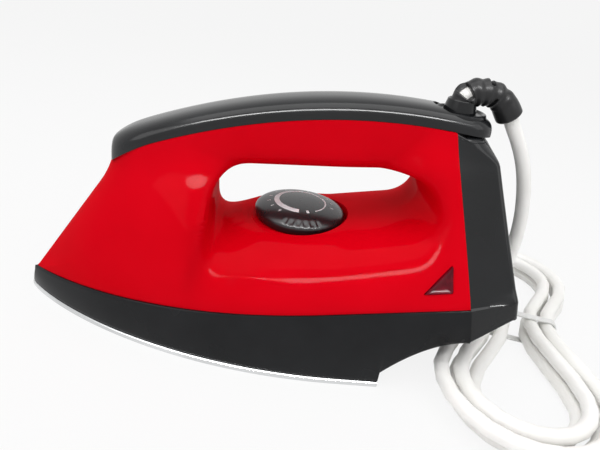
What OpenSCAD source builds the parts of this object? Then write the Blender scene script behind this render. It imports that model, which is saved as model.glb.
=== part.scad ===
// Dry iron with a closed handle, a thermostat dial and a swivel cord
// Nose towards -X, heel towards +X, soleplate face on z = 0, millimetres

/* [Soleplate] */
// Overall length, nose to heel
length = 245; // [238:1:252]
// Width of the soleplate
sole_w = 122; // [118:0.5:126]
// Length of the soleplate from the nose
sole_l = 183; // [178:1:187]
// Thickness of the bright rim
sole_t = 3; // [2.5:0.1:3.5]
// Height of the cast pad above the rim
pad_h = 7; // [6:0.5:8]
// Inset of the cast pad from the rim
pad_in = 9; // [8:0.5:11]

/* [Skirt] */
// Height of the skirt's top edge at the nose
seam_front = 12.2; // [11.5:0.1:13]
// Height of the skirt's top edge at the heel
seam_rear = 47.8; // [46:0.2:50]
// Width over the body at the skirt's top edge
seam_w = 108; // [105:0.5:110]
// How far the skirt stands out past the body
skirt_ledge = 1.2; // [0.8:0.1:1.6]
// Height of the heel's lower edge
heel_z = 40; // [38.5:0.5:41]
// Wall of the skirt, the body and the covers
wall = 2.5; // [2:0.1:3]

/* [Handle] */
// Width of the hand grip
grip_w = 31; // [29:0.5:33]
// Height of the joint under the handle cover at mid length
grip_seam = 110.5; // [108:0.5:114]
// Height of the handle cover over its joint
cover_h = 8.8; // [8:0.1:10]
// Depth of the grip below its joint at mid length
grip_h = 22.6; // [21:0.2:24]
// Distance from the nose to the front of the finger opening
opening_front = 95.3; // [93:0.5:98]
// Distance from the heel to the back of the finger opening
opening_back = 45; // [44:0.5:47]
// Distance from the nose to the upright front of the handle
column_in = 46.2; // [44:0.5:48]

/* [Dial] */
// Diameter of the dial
dial_d = 46.8; // [46:0.2:48]
// Distance from the nose to the dial's axis
dial_in = 140.2; // [138.6:0.2:141.8]
// Height of the deck on the dial's axis
deck_z = 58.3; // [57:0.2:59]
// Height of the dial
dial_h = 9.8; // [9:0.2:10.6]
// Turn of the dial from off to full heat in degrees
dial_turn = 300; // [270:5:320]
// Diameter of the thermostat spindle
spindle_d = 6; // [5:0.5:7]

/* [Rear cover] */
// Distance from the heel to the rear cover's joint at the skirt
split_in = 25; // [24:0.5:26.5]
// Forward lean of the rear cover's joint in degrees
split_lean = 11; // [10:0.5:11.5]
// Forward lean of the rear face in degrees
back_lean = 14; // [13.4:0.1:14.8]

/* [Cord] */
// Diameter of the cord
cord_d = 7.2; // [7:0.05:7.3]
// Distance from the heel to the swivel's axis
swivel_in = 34.5; // [33.5:0.25:35.5]
// Diameter of the swivel collar
collar_d = 26; // [25:0.5:27.5]
// Diameter of the swivel's turning barrel
barrel_d = 16; // [15:0.5:17]

/* [Hidden] */

$fn = 48;
nose_x = -length / 2;
heel_x = length / 2;
sole_end = nose_x + sole_l;
dial_x = nose_x + dial_in;
swivel_x = heel_x - swivel_in;
fit = 0.3;
running = 0.05;

// Smooth joins of two heights or distances
function mix(a, b, t) = a + (b - a) * t;
function share(t) = min(max(t, 0), 1);
function ease(t) = let (c = share(t)) c * c * (3 - 2 * c);
function smax(a, b, k) = max(a, b) + pow(max(k - abs(a - b), 0), 2) / (4 * k);
function smin(a, b, k) = -smax(-a, -b, k);
function unit(v) = v / norm(v);

// Plan outline that grows from a pointed nose to its full half width
function nose_curve(t, p, q) = pow(1 - pow(1 - share(t), p), 1 / q);

// Soleplate outline
sole_widest = 163.6;
function sole_half(x) = sole_w / 2 * nose_curve((x - nose_x) / sole_widest, 2.08, 1.17);

// Joint between the skirt and the body above it
seam_nose = nose_x + 3;
seam_widest = 153;
function seam_z(x) = mix(seam_front, seam_rear, (x - nose_x) / length);
function seam_half(x) = seam_w / 2 * nose_curve((x - seam_nose) / seam_widest, 2.165, 1.045);

// Joint between the body and the handle cover: a shallow arch that dips at its front end
grip_rise = 0.205;
grip_bow = 0.001725;
dip_x = nose_x + 67.5;
function arch_z(x) = grip_seam + grip_rise * x - grip_bow * x * x;
function grip_z(x) = arch_z(x) - 0.0095 * pow(max(dip_x - x, 0), 2);

// Front edge of the body in side view, sloping up from the nose into the upright column
front_slope = 0.6535;
column_x = nose_x + column_in;
function front_x(z) = smin(seam_nose + front_slope * (z - seam_front), column_x, 8);

// Leaning joint of the rear cover, and the flat rear face behind it
split_foot_z = seam_z(heel_x - split_in);
function split_x(z) = heel_x - split_in - tan(split_lean) * (z - split_foot_z);
function back_x(z) = heel_x - tan(back_lean) * (z - heel_z) - 0.33 * max(z - 105, 0);

// Half width of the body at a place in side view, before the finger opening is cut
edge_round = 18;
function fullness(x) = mix(1.12, 2.2, ease((x + 75) / 60) * (1 - ease((x - 45) / 45)));
function flare_top(x) =
    mix(mix(0.85, 0.62, ease((x + 45) / 50)), 1, ease((x - 45) / 40));
function bell(x, z) =
    let (
        t = share((z - seam_z(x)) / (grip_z(x) - seam_z(x))),
        foot = seam_half(x),
        top = smin(grip_w / 2, 0.8 * foot, 6),
        flare = smax(0, 1 - pow(t / flare_top(x), fullness(x)), 0.2),
        depth = mix(2, edge_round, ease(3 * t)),
        b = share((x - front_x(z)) / depth)
    )
    (top + (foot - top) * flare) * sqrt(1 - pow(1 - b, 2));

// Finger opening: a crowned deck, the grip's underside and two end walls
deck_rise = 0.195;
opening_x0 = nose_x + opening_front;
opening_x1 = heel_x - opening_back;
corner_low = 13;
corner_high = 19;
function edge_k(x) = mix(9, 12, ease((x - 30) / 40));
function deck(x, y) =
    deck_z + deck_rise * (x - dial_x)
    - 6.6 * pow(abs(y) / (40 * max(seam_half(x), 2) / 54), 3.36);
function grip_under(x) = grip_seam - grip_h + 0.075 * x;
function opening(x, y, z) =
    let (ends = max(opening_x0 - x, x - opening_x1 - 0.12 * abs(y)))
    smax(smax(deck(x, y) - z, ends, corner_low), z - grip_under(x), corner_high);
function body_field(x, y, z) = smax(abs(y) - bell(x, z), -opening(x, y, z), edge_k(x));

// Values on a ray where a field changes sign, found by halving
function cross_opening(c, d, lo, hi, n) =
    n == 0 ? (lo + hi) / 2
    : let (m = (lo + hi) / 2)
      opening(c.x + d.x * m, 0, c.y + d.y * m) < 0
      ? cross_opening(c, d, m, hi, n - 1) : cross_opening(c, d, lo, m, n - 1);
function cross_body(o, d, lo, hi, n) =
    n == 0 ? (lo + hi) / 2
    : let (m = (lo + hi) / 2, p = o + d * m)
      body_field(p.x, p.y, p.z) < 0
      ? cross_body(o, d, m, hi, n - 1) : cross_body(o, d, lo, m, n - 1);

// Stations round the opening: along the grip joint, down the front, along the skirt, up the rear
n_top = 15;
n_front = 9;
n_foot = 19;
n_back = 9;
n_round = n_top + n_front + n_foot + n_back;
n_side = 10;
opening_mid = [(opening_x0 + opening_x1) / 2, 77];
column_z = grip_z(column_x - 1.3);
tip_z = seam_z(seam_nose);
split_top = grip_z(heel_x - 39);
function station(i) =
    i < n_top ? let (
        s = i / n_top, x = mix(split_x(split_top), column_x - 1.3, s))
        [x, grip_z(x), mix(28, 152, s), 0]
    : i < n_top + n_front ? let (
        s = (i - n_top) / n_front, z = mix(column_z, tip_z, s))
        [front_x(z), z, mix(152, 214, s), 1]
    : i < n_top + n_front + n_foot ? let (
        s = (i - n_top - n_front) / n_foot, x = mix(seam_nose, split_x(split_foot_z), pow(s, 1.25)))
        [x, seam_z(x), mix(214, 330, s), s == 0 ? 1 : 0]
    : let (
        s = (i - n_top - n_front - n_foot) / n_back, z = mix(split_foot_z, split_top, s))
        [split_x(z), z, mix(330, 388, s), 0];
function opening_edge(a) =
    let (d = [cos(a) * 50, sin(a) * 15], m = cross_opening(opening_mid, d, 0, 2.2, 16))
    opening_mid + d * m;

// One point of the outer skin: station i, step j from the opening (0) to the outer edge (n_side)
function skin_point(i, j) =
    let (
        st = station(i),
        b = opening_edge(st[2]),
        e = [st[0], st[1]],
        reach = norm(e - b),
        dir = (e - b) / reach,
        core = b + dir * reach * 0.55,
        half = st[3] == 1 ? 0 : bell(e.x, e.y),
        last = atan2(half, reach * 0.45),
        a = mix(180, last, j / n_side),
        ray = [dir.x * cos(a), sin(a), dir.y * cos(a)],
        far = min((reach * 0.55 + 10) / max(-cos(a), 0.12), reach + 60),
        m = cross_body([core.x, 0, core.y], ray, 0, far, 14)
    )
    j == n_side ? [e.x, half, e.y] : [core.x, 0, core.y] + ray * m;
function skin_slope(p) =
    let (h = 0.2)
    unit([
        body_field(p.x + h, p.y, p.z) - body_field(p.x - h, p.y, p.z),
        body_field(p.x, p.y + h, p.z) - body_field(p.x, p.y - h, p.z),
        body_field(p.x, p.y, p.z + h) - body_field(p.x, p.y, p.z - h)
    ]);
// The inner skin lies one wall in, and stays on the joint faces at the open edges
function inner_point(i, j, p) =
    let (st = station(i), n = skin_slope(p))
    j < n_side ? (j == 0 ? let (q = p - wall * n) [q.x, 0, q.z] : p - wall * n)
    : st[3] == 0 ? [p.x, max(p.y - 1.15 * wall, 0), p.z]
    : i == n_top + n_front ? [p.x + 1.6 * wall, 0, p.z]
    : let (q = p - wall * n) [q.x, 0, q.z];

// Closed shell from the outer and inner skins, mirrored about y = 0
module body_skin() {
    outer = [for (i = [0:n_round - 1]) [for (j = [0:n_side]) skin_point(i, j)]];
    inner = [for (i = [0:n_round - 1]) [for (j = [0:n_side]) inner_point(i, j, outer[i][j])]];
    row = 2 * n_side + 1;
    skin = n_round * row;
    function closed(i) = station(i % n_round)[3] == 1;
    function flip(p, k) = k < 0 ? [p.x, -p.y, p.z] : p;
    function at(i, k) =
        let (c = i % n_round) c * row + (closed(c) && k == -n_side ? 2 * n_side : k + n_side);
    points = [
        for (s = [outer, inner]) for (i = [0:n_round - 1]) for (k = [-n_side:n_side])
            flip(s[i][abs(k)], k)
    ];
    faces = [
        for (i = [0:n_round - 1]) for (k = [-n_side:n_side - 1]) each
            let (a = at(i, k), b = at(i + 1, k), c = at(i + 1, k + 1), d = at(i, k + 1))
            [[a, c, b], [a, d, c], [skin + a, skin + b, skin + c], [skin + a, skin + c, skin + d]],
        for (i = [0:n_round - 1]) if (!(closed(i) && closed(i + 1))) for (k = [-n_side, n_side]) each
            let (a = at(i, k), b = at(i + 1, k), up = k > 0)
            up ? [[a, skin + b, b], [a, skin + a, skin + b]]
            : [[a, b, skin + b], [a, skin + b, skin + a]]
    ];
    polyhedron(points, whole(faces));
}
// Triangles that have three different corners
function whole(faces) = [for (f = faces) if (f[0] != f[1] && f[1] != f[2] && f[0] != f[2]) f];
function quad(a, b, c, d) = [[a, b, c], [a, c, d]];

// Shell between an outer and an inner grid of points; strips close its first and last rows if capped
module grid_shell(outer, inner, capped) {
    n = len(outer) - 1;
    m = len(outer[0]) - 1;
    skin = (n + 1) * (m + 1);
    function at(i, k) = i * (m + 1) + k;
    walls = [
        for (i = [0:n - 1]) for (k = [0:m - 1]) each
            quad(at(i, k), at(i, k + 1), at(i + 1, k + 1), at(i + 1, k)),
        if (capped) for (k = [0:floor(m / 2) - 1]) each concat(
            quad(at(0, k + 1), at(0, k), at(0, m - k), at(0, m - k - 1)),
            quad(at(n, k), at(n, k + 1), at(n, m - k - 1), at(n, m - k)))
    ];
    rims = [
        for (i = [0:n - 1]) each concat(
            quad(at(i, 0), at(i + 1, 0), skin + at(i + 1, 0), skin + at(i, 0)),
            quad(at(i + 1, m), at(i, m), skin + at(i, m), skin + at(i + 1, m))),
        if (capped) each concat(
            quad(at(0, m), at(0, 0), skin + at(0, 0), skin + at(0, m)),
            quad(at(n, 0), at(n, m), skin + at(n, m), skin + at(n, 0))),
        if (!capped) for (k = [0:m - 1]) each concat(
            quad(at(0, k + 1), at(0, k), skin + at(0, k), skin + at(0, k + 1)),
            quad(at(n, k), at(n, k + 1), skin + at(n, k + 1), skin + at(n, k)))
    ];
    lining = [for (f = walls) [skin + f[0], skin + f[2], skin + f[1]]];
    polyhedron([for (g = [outer, inner]) for (r = g) each r], whole(concat(walls, rims, lining)));
}
// Row of half-section points [x, half width, z] made whole about y = 0
function both_sides(half) = concat(
    [for (p = half) [p.x, -p.y, p.z]],
    [for (i = [len(half) - 2:-1:0]) half[i]]
);

// Round tube along a path, with its end faces square to the path
function heading(path, i) = unit(path[min(i + 1, len(path) - 1)] - path[max(i - 1, 0)]);
function carry(side, ahead) = unit(side - (side * ahead) * ahead);
function sides_along(path) = [
    for (i = 0, s = carry([0.1, 0.3, 1], heading(path, 0));
         i < len(path);
         i = i + 1, s = carry(s, heading(path, min(i, len(path) - 1)))) s
];
module tube(path, radii, sides) {
    n = len(path);
    normals = sides_along(path);
    points = [
        for (i = [0:n - 1]) let (b = cross(heading(path, i), normals[i]))
            for (k = [0:sides - 1])
                path[i] + radii[i] * (cos(360 * k / sides) * normals[i] + sin(360 * k / sides) * b)
    ];
    faces = [
        for (i = [0:n - 2]) for (k = [0:sides - 1]) let (l = (k + 1) % sides) each
            quad(i * sides + k, (i + 1) * sides + k, (i + 1) * sides + l, i * sides + l),
        for (k = [1:sides - 2]) each [
            [0, k, k + 1],
            [(n - 1) * sides, (n - 1) * sides + k + 1, (n - 1) * sides + k]
        ]
    ];
    polyhedron(points, faces);
}
function same(r, path) = [for (p = path) r];

// Soleplate: bright rim, cast pad and the pillars on it
pad_top = sole_t + pad_h;
pad_end = sole_end - pad_in;
shield_z = pad_top + 12;
bolt_x = nose_x + 64.5;
bolt_d = 4.8;
pillar_d = 11;
pillar_x = sole_end - 20;
pillar_y = 0.36 * sole_w / 2;
screw_d = 3.6;
function plan(xs, half) = concat(
    [for (x = xs) [x, -half(x)]],
    [for (i = [len(xs) - 1:-1:0]) [xs[i], half(xs[i])]]
);
function nose_spaced(a, b, n) = [for (i = [0:n]) mix(a, b, pow(i / n, 1.6))];
module pillar(at, bore) {
    translate([at.x, at.y, pad_top - 1]) difference() {
        cylinder(d = pillar_d, h = shield_z - pad_top + 1);
        translate([0, 0, 2]) cylinder(d = bore, h = shield_z);
    }
}
module soleplate() {
    color("gainsboro") {
        linear_extrude(sole_t) polygon(plan(nose_spaced(nose_x, sole_end, 22), function (x) sole_half(x)));
        linear_extrude(pad_top) polygon(plan(
            nose_spaced(nose_x + 2.2 * pad_in, pad_end, 16),
            function (x) max(sole_half(x) - 1.1 * pad_in, 0.5)
        ));
        pillar([bolt_x, 0], bolt_d + 2 * running);
        for (side = [-1, 1]) pillar([pillar_x, side * pillar_y], screw_d + 2 * running);
    }
}

// Heating element: a hairpin tube on the pad whose rear ends turn up to the terminals
element_d = 6.6;
element_z = pad_top + element_d / 2 + 0.1;
element_front = nose_x + 46;
element_rear = pad_end - 6;
terminal_z = shield_z + 6;
function leg_y(x) = 0.52 * sole_half(x);
function leg_x(i) = mix(element_rear, element_front, i / 6);
element_leg = concat(
    [
        [element_rear + 8, leg_y(element_rear), terminal_z],
        [element_rear + 8, leg_y(element_rear), terminal_z - 9]
    ],
    [[element_rear + 4, leg_y(element_rear), element_z + 1.5]],
    [for (i = [0:6]) [leg_x(i), leg_y(leg_x(i)), element_z]]
);
element_bend = [
    for (a = [30:30:150])
        [element_front - 0.8 * leg_y(element_front) * sin(a), leg_y(element_front) * cos(a), element_z]
];
terminal_at = element_leg[0];
module heating_element() {
    path = concat(
        element_leg, element_bend,
        [for (i = [len(element_leg) - 1:-1:0]) let (p = element_leg[i]) [p.x, -p.y, p.z]]
    );
    color("dimgray") tube(path, same(element_d / 2, path), 8);
}
module element_terminals() {
    for (side = [-1, 1]) translate([terminal_at.x, side * terminal_at.y, terminal_z + 0.1]) {
        color("ivory") cylinder(d = 7.6, h = 4);
        color("goldenrod") cylinder(d = 3.2, h = 13);
    }
}

// Heat shield on the pillars, and its screws
shield_t = 0.8;
shield_in = 14;
shield_front = bolt_x - 12;
shield_rear = sole_end + 7;
stack_x = dial_x - 24;
module heat_shield() {
    color("silver") translate([0, 0, shield_z]) linear_extrude(shield_t) difference() {
        polygon(plan(
            [for (i = [0:10]) mix(shield_front, shield_rear, i / 10)],
            function (x) sole_half(x) - shield_in
        ));
        translate([stack_x - 11, -8.5]) square([dial_x - stack_x + 23, 17]);
        translate([bolt_x, 0]) circle(d = bolt_d + 1);
        for (side = [-1, 1]) {
            translate([pillar_x, side * pillar_y]) circle(d = screw_d + 0.6);
            translate([terminal_at.x, side * terminal_at.y]) circle(d = element_d + 4);
        }
    }
}
module pan_screw(d, shank, head_d, head_h) {
    cylinder(d = head_d, h = head_h);
    translate([0, 0, -shank]) cylinder(d = d, h = shank);
}
module shield_screws() {
    for (side = [-1, 1]) translate([pillar_x, side * pillar_y, shield_z + shield_t])
        color("silver") pan_screw(screw_d, 9, 8, 2.4);
}

// Skirt: a wall from the soleplate's rim to the body's joint, with a rising floor behind the sole
skirt_lip = 0.4;
skirt_foot = sole_t + fit;
step_z = 7.7;
rear_foot_z = 27.6;
rear_foot_x = split_x(rear_foot_z);
skirt_rows = 4;
skirt_back_n = 7;
skirt_front_n = 18;
function foot_half(x) =
    (sole_w / 2 - skirt_lip) * nose_curve((x - nose_x - skirt_lip) / sole_widest, 2.08, 1.17);
function top_half(x) =
    (seam_w / 2 + skirt_ledge) * nose_curve((x - seam_nose + skirt_ledge) / seam_widest, 2.165, 1.045);
function skirt_half(x, z) = mix(foot_half(x), top_half(x), (z - skirt_foot) / (seam_z(x) - skirt_foot));
function lower_edge(x) =
    x < sole_end + fit / 2 ? skirt_foot
    : mix(step_z, rear_foot_z, 1 - pow(1 - share((x - sole_end) / (rear_foot_x - sole_end)), 1.8));
function skirt_station(j) =
    j <= skirt_back_n ? let (t = j / skirt_back_n)
        [mix(rear_foot_x, sole_end + fit, t), mix(split_x(split_foot_z), sole_end + fit, t)]
    : let (t = 1 - pow(1 - (j - skirt_back_n - 1) / skirt_front_n, 1.3))
        [mix(sole_end, nose_x + skirt_lip, t), mix(sole_end, seam_nose - skirt_ledge, t)];
function skirt_point(j, s, depth) =
    let (
        x = skirt_station(j),
        tip = j == skirt_back_n + skirt_front_n + 1,
        foot = lower_edge(x[0]),
        p = mix([x[0], skirt_half(x[0], foot), foot], [x[1], top_half(x[1]), seam_z(x[1])], s),
        n = unit([skirt_half(p.x - 0.5, p.z) - skirt_half(p.x + 0.5, p.z), 1])
    )
    tip ? [p.x + 1.7 * depth, 0, p.z]
    : [p.x - (j == 0 ? 0 : depth * n.x), p.y + 0.7 * sin(180 * s) - depth * n.y, p.z];
module skirt() {
    last = skirt_back_n + skirt_front_n + 1;
    levels = [for (i = [0:skirt_rows]) i / skirt_rows];
    outer = [for (s = levels) both_sides([for (j = [0:last]) skirt_point(j, s, 0)])];
    inner = [for (s = levels) both_sides([for (j = [0:last]) skirt_point(j, s, wall)])];
    floor_x = [for (i = [0:9]) mix(sole_end + fit, rear_foot_x, i / 9)];
    under = [for (x = floor_x) [x, lower_edge(x)]];
    color("#2b2c30") {
        grid_shell(outer, inner, false);
        intersection() {
            rotate([90, 0, 0]) linear_extrude(sole_w, center = true) polygon(concat(
                [[sole_end + fit - wall, skirt_foot], [sole_end + fit, skirt_foot]],
                under,
                [[split_x(rear_foot_z + wall), rear_foot_z + wall]],
                [for (i = [8:-1:1]) under[i] + [0, wall]],
                [[sole_end + fit - wall, step_z + wall]]
            ));
            linear_extrude(seam_rear) polygon(plan(
                [sole_end - wall, rear_foot_x + 1],
                function (x) skirt_half(x, lower_edge(x)) - wall / 2
            ));
        }
    }
}

// Red body with its dial seat, lamp window and the shelf for the long front screw
seat_z = deck_z - 1.2;
seat_r = dial_d / 2 + 1.8;
seat_t = 2.6;
seat_rim = 5;
plinth_h = 7.5;
stop_r = 0.37 * dial_d;
stop_d = 2.4;
stop_angle = 90;
groove_margin = 8;
shelf_z = 61;
shelf_half = bell(bolt_x, shelf_z) - wall / 2;
lens_x = heel_x - 39.5;
lens_z = 53.6;
lens_y = bell(lens_x, lens_z);
lens_tilt = atan((bell(lens_x, lens_z - 2) - bell(lens_x, lens_z + 2)) / 4);
lens_corners = [[-7.9, -5.2], [5.3, -3.5], [4, 9]];
module at_lens() {
    translate([lens_x, -lens_y, lens_z]) rotate([90 - lens_tilt, 0, 0]) children();
}
module lens_prism(grow, low, high) {
    translate([0, 0, low]) linear_extrude(high - low)
        polygon([for (c = lens_corners) c * (1 + grow / 3.2)]);
}
module at_dial(z) {
    translate([dial_x, 0, z]) children();
}
module body_shell() {
    color("#c8102e") difference() {
        union() {
            body_skin();
            at_dial(seat_z) rotate_extrude() polygon([
                [0, 0], [seat_r + seat_rim, 0], [seat_r + seat_rim + plinth_h, -plinth_h],
                [seat_r + plinth_h - 1, -plinth_h], [seat_r, -seat_t], [0, -seat_t]
            ]);
            intersection() {
                at_dial(seat_z - seat_t) cylinder(r = seat_r + wall, h = 12);
                at_dial(seat_z + 0.2) rotate([0, -atan(deck_rise), 0])
                    translate([0, -40, -20]) cube([80, 80, 20]);
            }
            translate([bolt_x - 7, -shelf_half, shelf_z - 3]) cube([14, 2 * shelf_half, 3]);
        }
        at_dial(seat_z) cylinder(r = seat_r, h = 20);
        at_dial(seat_z - 2 * seat_t) cylinder(d = spindle_d + 1.4, h = 3 * seat_t);
        at_dial(seat_z - seat_t / 2) rotate(stop_angle - dial_turn - groove_margin)
            rotate_extrude(angle = dial_turn + 2 * groove_margin)
                translate([stop_r - stop_d, 0]) square([2 * stop_d, seat_t]);
        translate([bolt_x, 0, shelf_z - 5]) cylinder(d = bolt_d + 0.4, h = 7);
        at_lens() lens_prism(0.2, -8, 6);
    }
}
module front_tie_screw() {
    translate([bolt_x, 0, shelf_z]) color("silver") pan_screw(bolt_d, shelf_z - pad_top - 1.5, 9.5, 3.4);
}

// Handle cover: a domed strip on the body's arched joint, longer than the body at the rear
joint_gap = 0.2;
cover_front = column_x - 0.6;
cover_rear = heel_x - 19;
cover_half = grip_w / 2;
split_top_x = split_x(split_top);
cap_z = split_top - 1.6;
cover_n = 18;
arch_n = 12;
function cover_foot(x) =
    joint_gap + (x < split_top_x ? grip_z(x)
        : mix(split_top, cap_z, (x - split_top_x) / (back_x(cap_z) - split_top_x)));
function cover_ring(x, s, inset) =
    let (
        front = pow(1 - share((s - cover_front) / 16), 2),
        rear = pow(1 - share((cover_rear - s) / 12), 2),
        half = cover_half * sqrt(1 - 0.8 * front - 0.7 * rear) - inset,
        high = (arch_z(x) + cover_h - cover_foot(x))
            * (1 - 0.2 * pow(front, 1.6) - 0.25 * pow(rear, 1.5)) - inset
    )
    [
        for (k = [0:arch_n]) let (a = 180 - 180 * k / arch_n, c = cos(a)) [
            x,
            half * sign(c) * pow(abs(c), 0.72),
            cover_foot(x) + high * pow(max(sin(a), 0), 0.72)
        ]
    ];
seat_top = arch_z(swivel_x + collar_d / 2) + cover_h - 1.8;
collar_t = 2.6;
sleeve_d = 0.85 * collar_d;
module handle_cover() {
    xs = [for (i = [0:cover_n]) let (t = i / cover_n) mix(cover_front, cover_rear, mix(t, ease(t), 0.8))];
    function inside(x) =
        mix(cover_front + wall, cover_rear - wall, (x - cover_front) / (cover_rear - cover_front));
    color("#2b2c30") difference() {
        grid_shell([for (x = xs) cover_ring(x, x, 0)], [for (x = xs) cover_ring(inside(x), x, wall)], true);
        translate([swivel_x, 0, seat_top]) cylinder(d = collar_d + 0.4, h = 20);
        translate([swivel_x, 0, 90]) cylinder(d = sleeve_d + 0.4, h = 60);
    }
}

// Rear cover: a cup that closes the body and the skirt behind the leaning joint
back_half = seam_w / 2 - 1;
band_z = heel_z + 10;
band_n = 2;
ledge_h = 0.5;
back_n = 9;
corner_r = 2.5;
rear_crown = 0.6;
function front_half(z) = z <= split_foot_z ? skirt_half(split_x(z), z) : bell(split_x(z), z);
function rear_half(z) = 19 + (back_half - 19) * pow(share((cap_z - z) / (cap_z - band_z)), 1.05);
function cup_level(i) =
    i <= band_n ? let (t = i / band_n)
        [mix(rear_foot_z, split_foot_z, t), mix(heel_z, band_z, t), 1]
    : let (t = (i - band_n - 1) / back_n)
        [mix(split_foot_z + ledge_h, split_top, t), mix(band_z + ledge_h, cap_z, t), 0];
function cup_row(i, inset) =
    let (
        level = cup_level(i),
        zf = min(max(level[0], rear_foot_z + inset), split_top - inset),
        zb = min(max(level[1], heel_z + inset), cap_z - inset),
        front = [split_x(zf), front_half(level[0]) - 1.15 * inset, zf],
        half = rear_half(level[1]) + level[2] * skirt_ledge - inset,
        back = back_x(zb) - inset,
        side = back - rear_crown,
        round_r = corner_r + 9 * ease((level[1] - 104) / 10) - 0.4 * inset
    )
    both_sides(concat(
        [for (d = [0, 0.33, 0.66]) mix(front, [side - round_r, half, zb], d)],
        [for (a = [0:30:90]) [side - round_r * (1 - sin(a)), half - round_r * (1 - cos(a)), zb]],
        [[back, 0, zb]]
    ));
back_screw_z = heel_z + 15;
back_screw_d = 4;
bracket_x = heel_x - 30;
bracket_t = 1.5;
boss_end = back_x(back_screw_z) - wall;
module rear_cover() {
    rows = [band_n + back_n + 1:-1:0];
    color("#2b2c30") difference() {
        union() {
            grid_shell([for (i = rows) cup_row(i, 0)], [for (i = rows) cup_row(i, wall)], true);
            translate([bracket_x + bracket_t + fit, 0, back_screw_z]) rotate([0, 90, 0])
                cylinder(d = 13, h = boss_end - bracket_x - bracket_t);
        }
        translate([bracket_x, 0, back_screw_z]) rotate([0, 90, 0])
            cylinder(d = back_screw_d + 0.4, h = 60);
        translate([boss_end - 2, 0, back_screw_z]) rotate([0, 90, 0]) cylinder(d = 9, h = 20);
        translate([swivel_x, 0, 90]) cylinder(d = sleeve_d + 0.8, h = 60);
    }
}
module rear_cover_screw() {
    translate([boss_end - 2, 0, back_screw_z]) rotate([0, 90, 0])
        color("silver") pan_screw(back_screw_d, boss_end - bracket_x, 8.4, 2.6);
}

// Rear bracket from the skirt's floor up to the terminal block
block_z = heel_z + 29;
block_h = 14;
block_w = 34;
block_t = 10;
function floor_top(x) = lower_edge(x) + wall;
module rear_bracket() {
    color("silver") difference() {
        rotate([90, 0, 0]) linear_extrude(22, center = true) polygon([
            [bracket_x - 10, floor_top(bracket_x - 10) + 2 * fit],
            [bracket_x + bracket_t, floor_top(bracket_x + bracket_t) + 2 * fit],
            [bracket_x + bracket_t, block_z + block_h],
            [bracket_x, block_z + block_h],
            [bracket_x, floor_top(bracket_x) + fit + 1.5],
            [bracket_x - 10, floor_top(bracket_x - 10) + fit + 1.5]
        ]);
        translate([bracket_x - 5, 0, back_screw_z]) rotate([0, 90, 0])
            cylinder(d = back_screw_d + 2 * running, h = 10);
    }
}

// Dial, its spindle and the thermostat below it
rim_z = seat_z + fit;
hub_d = spindle_d + 5;
module dial() {
    r = dial_d / 2;
    color("#26272b") difference() {
        union() {
            at_dial(rim_z) rotate_extrude() polygon([
                [0, 0.72 * dial_h], [r - 3.6, 0.45 * dial_h], [r - 2.4, 0], [r - 1, 0], [r - 0.7, 0.6],
                [r - 0.2, 0.23 * dial_h], [r, 0.36 * dial_h], [0.97 * r, 0.557 * dial_h],
                [0.9 * r, 0.68 * dial_h], [0.75 * r, 0.81 * dial_h], [0.5 * r, 0.93 * dial_h],
                [0.25 * r, 0.983 * dial_h], [0, dial_h]
            ]);
            at_dial(rim_z) cylinder(d = hub_d, h = 0.8 * dial_h);
            at_dial(seat_z - seat_t / 2 + fit) rotate(stop_angle) translate([stop_r, 0, 0])
                cylinder(d = stop_d, h = 0.52 * dial_h + seat_t / 2);
            at_dial(rim_z + 0.66 * dial_h) rotate(stop_angle) translate([0.7 * r, -0.7, 0])
                cube([0.1 * r, 1.4, 0.2 * dial_h]);
        }
        at_dial(rim_z - 1) cylinder(r = spindle_d / 2 + 0.02, h = 0.72 * dial_h + 1);
    }
}
blade_gap = 0.3;
blade_t = 0.5;
base_t = 1.5;
bimetal_z = pad_top + base_t + 2;
fixed_z = bimetal_z + 4.2;
moving_z = fixed_z + 4.8;
stack_top = moving_z + blade_t + blade_gap + 3;
arm_z = stack_top + 5.2;
rivet_d = 3;
module dial_spindle() {
    low = moving_z + blade_t + fit;
    color("silver") at_dial(low) cylinder(d = spindle_d, h = rim_z + 0.7 * dial_h - low);
}
module thermostat_base() {
    color("silver") difference() {
        union() {
            translate([stack_x - 9, -6, pad_top]) cube([dial_x - stack_x + 19, 12, base_t]);
            translate([stack_x - 9, -6, pad_top]) cube([base_t, 12, arm_z - pad_top + base_t]);
            translate([stack_x - 9, -6, arm_z]) cube([dial_x - stack_x + 15, 12, base_t]);
            at_dial(arm_z - 3) cylinder(d = hub_d, h = 8);
        }
        at_dial(arm_z - 5) cylinder(r = spindle_d / 2 + running, h = 15);
        translate([stack_x, 0, pad_top - 1]) cylinder(d = rivet_d + 2 * running, h = 6);
    }
}
module stack_ring(z0, z1) {
    translate([stack_x, 0, z0]) difference() {
        cylinder(d = 10, h = z1 - z0);
        translate([0, 0, -1]) cylinder(d = rivet_d + 2 * running, h = z1 - z0 + 2);
    }
}
module thermostat_insulators() {
    color("ivory") {
        stack_ring(pad_top + base_t, bimetal_z);
        stack_ring(bimetal_z + 0.8, fixed_z);
        stack_ring(fixed_z + blade_t, moving_z - blade_gap);
        stack_ring(moving_z + blade_t + blade_gap, stack_top);
    }
}
module thermostat_rivet() {
    color("silver") translate([stack_x, 0, stack_top]) pan_screw(rivet_d, stack_top - pad_top - 0.2, 6, 1.2);
}
module blade(z, thickness, tip, width, hole) {
    translate([0, 0, z]) linear_extrude(thickness) difference() {
        translate([stack_x - 5, -width / 2]) square([tip - stack_x + 5, width]);
        translate([stack_x, 0]) circle(d = hole);
    }
}
contact_x = dial_x - 6;
module bimetal_strip() {
    color("darkkhaki") blade(bimetal_z, 0.8, dial_x + 6, 8, rivet_d + 2 * running);
}
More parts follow.
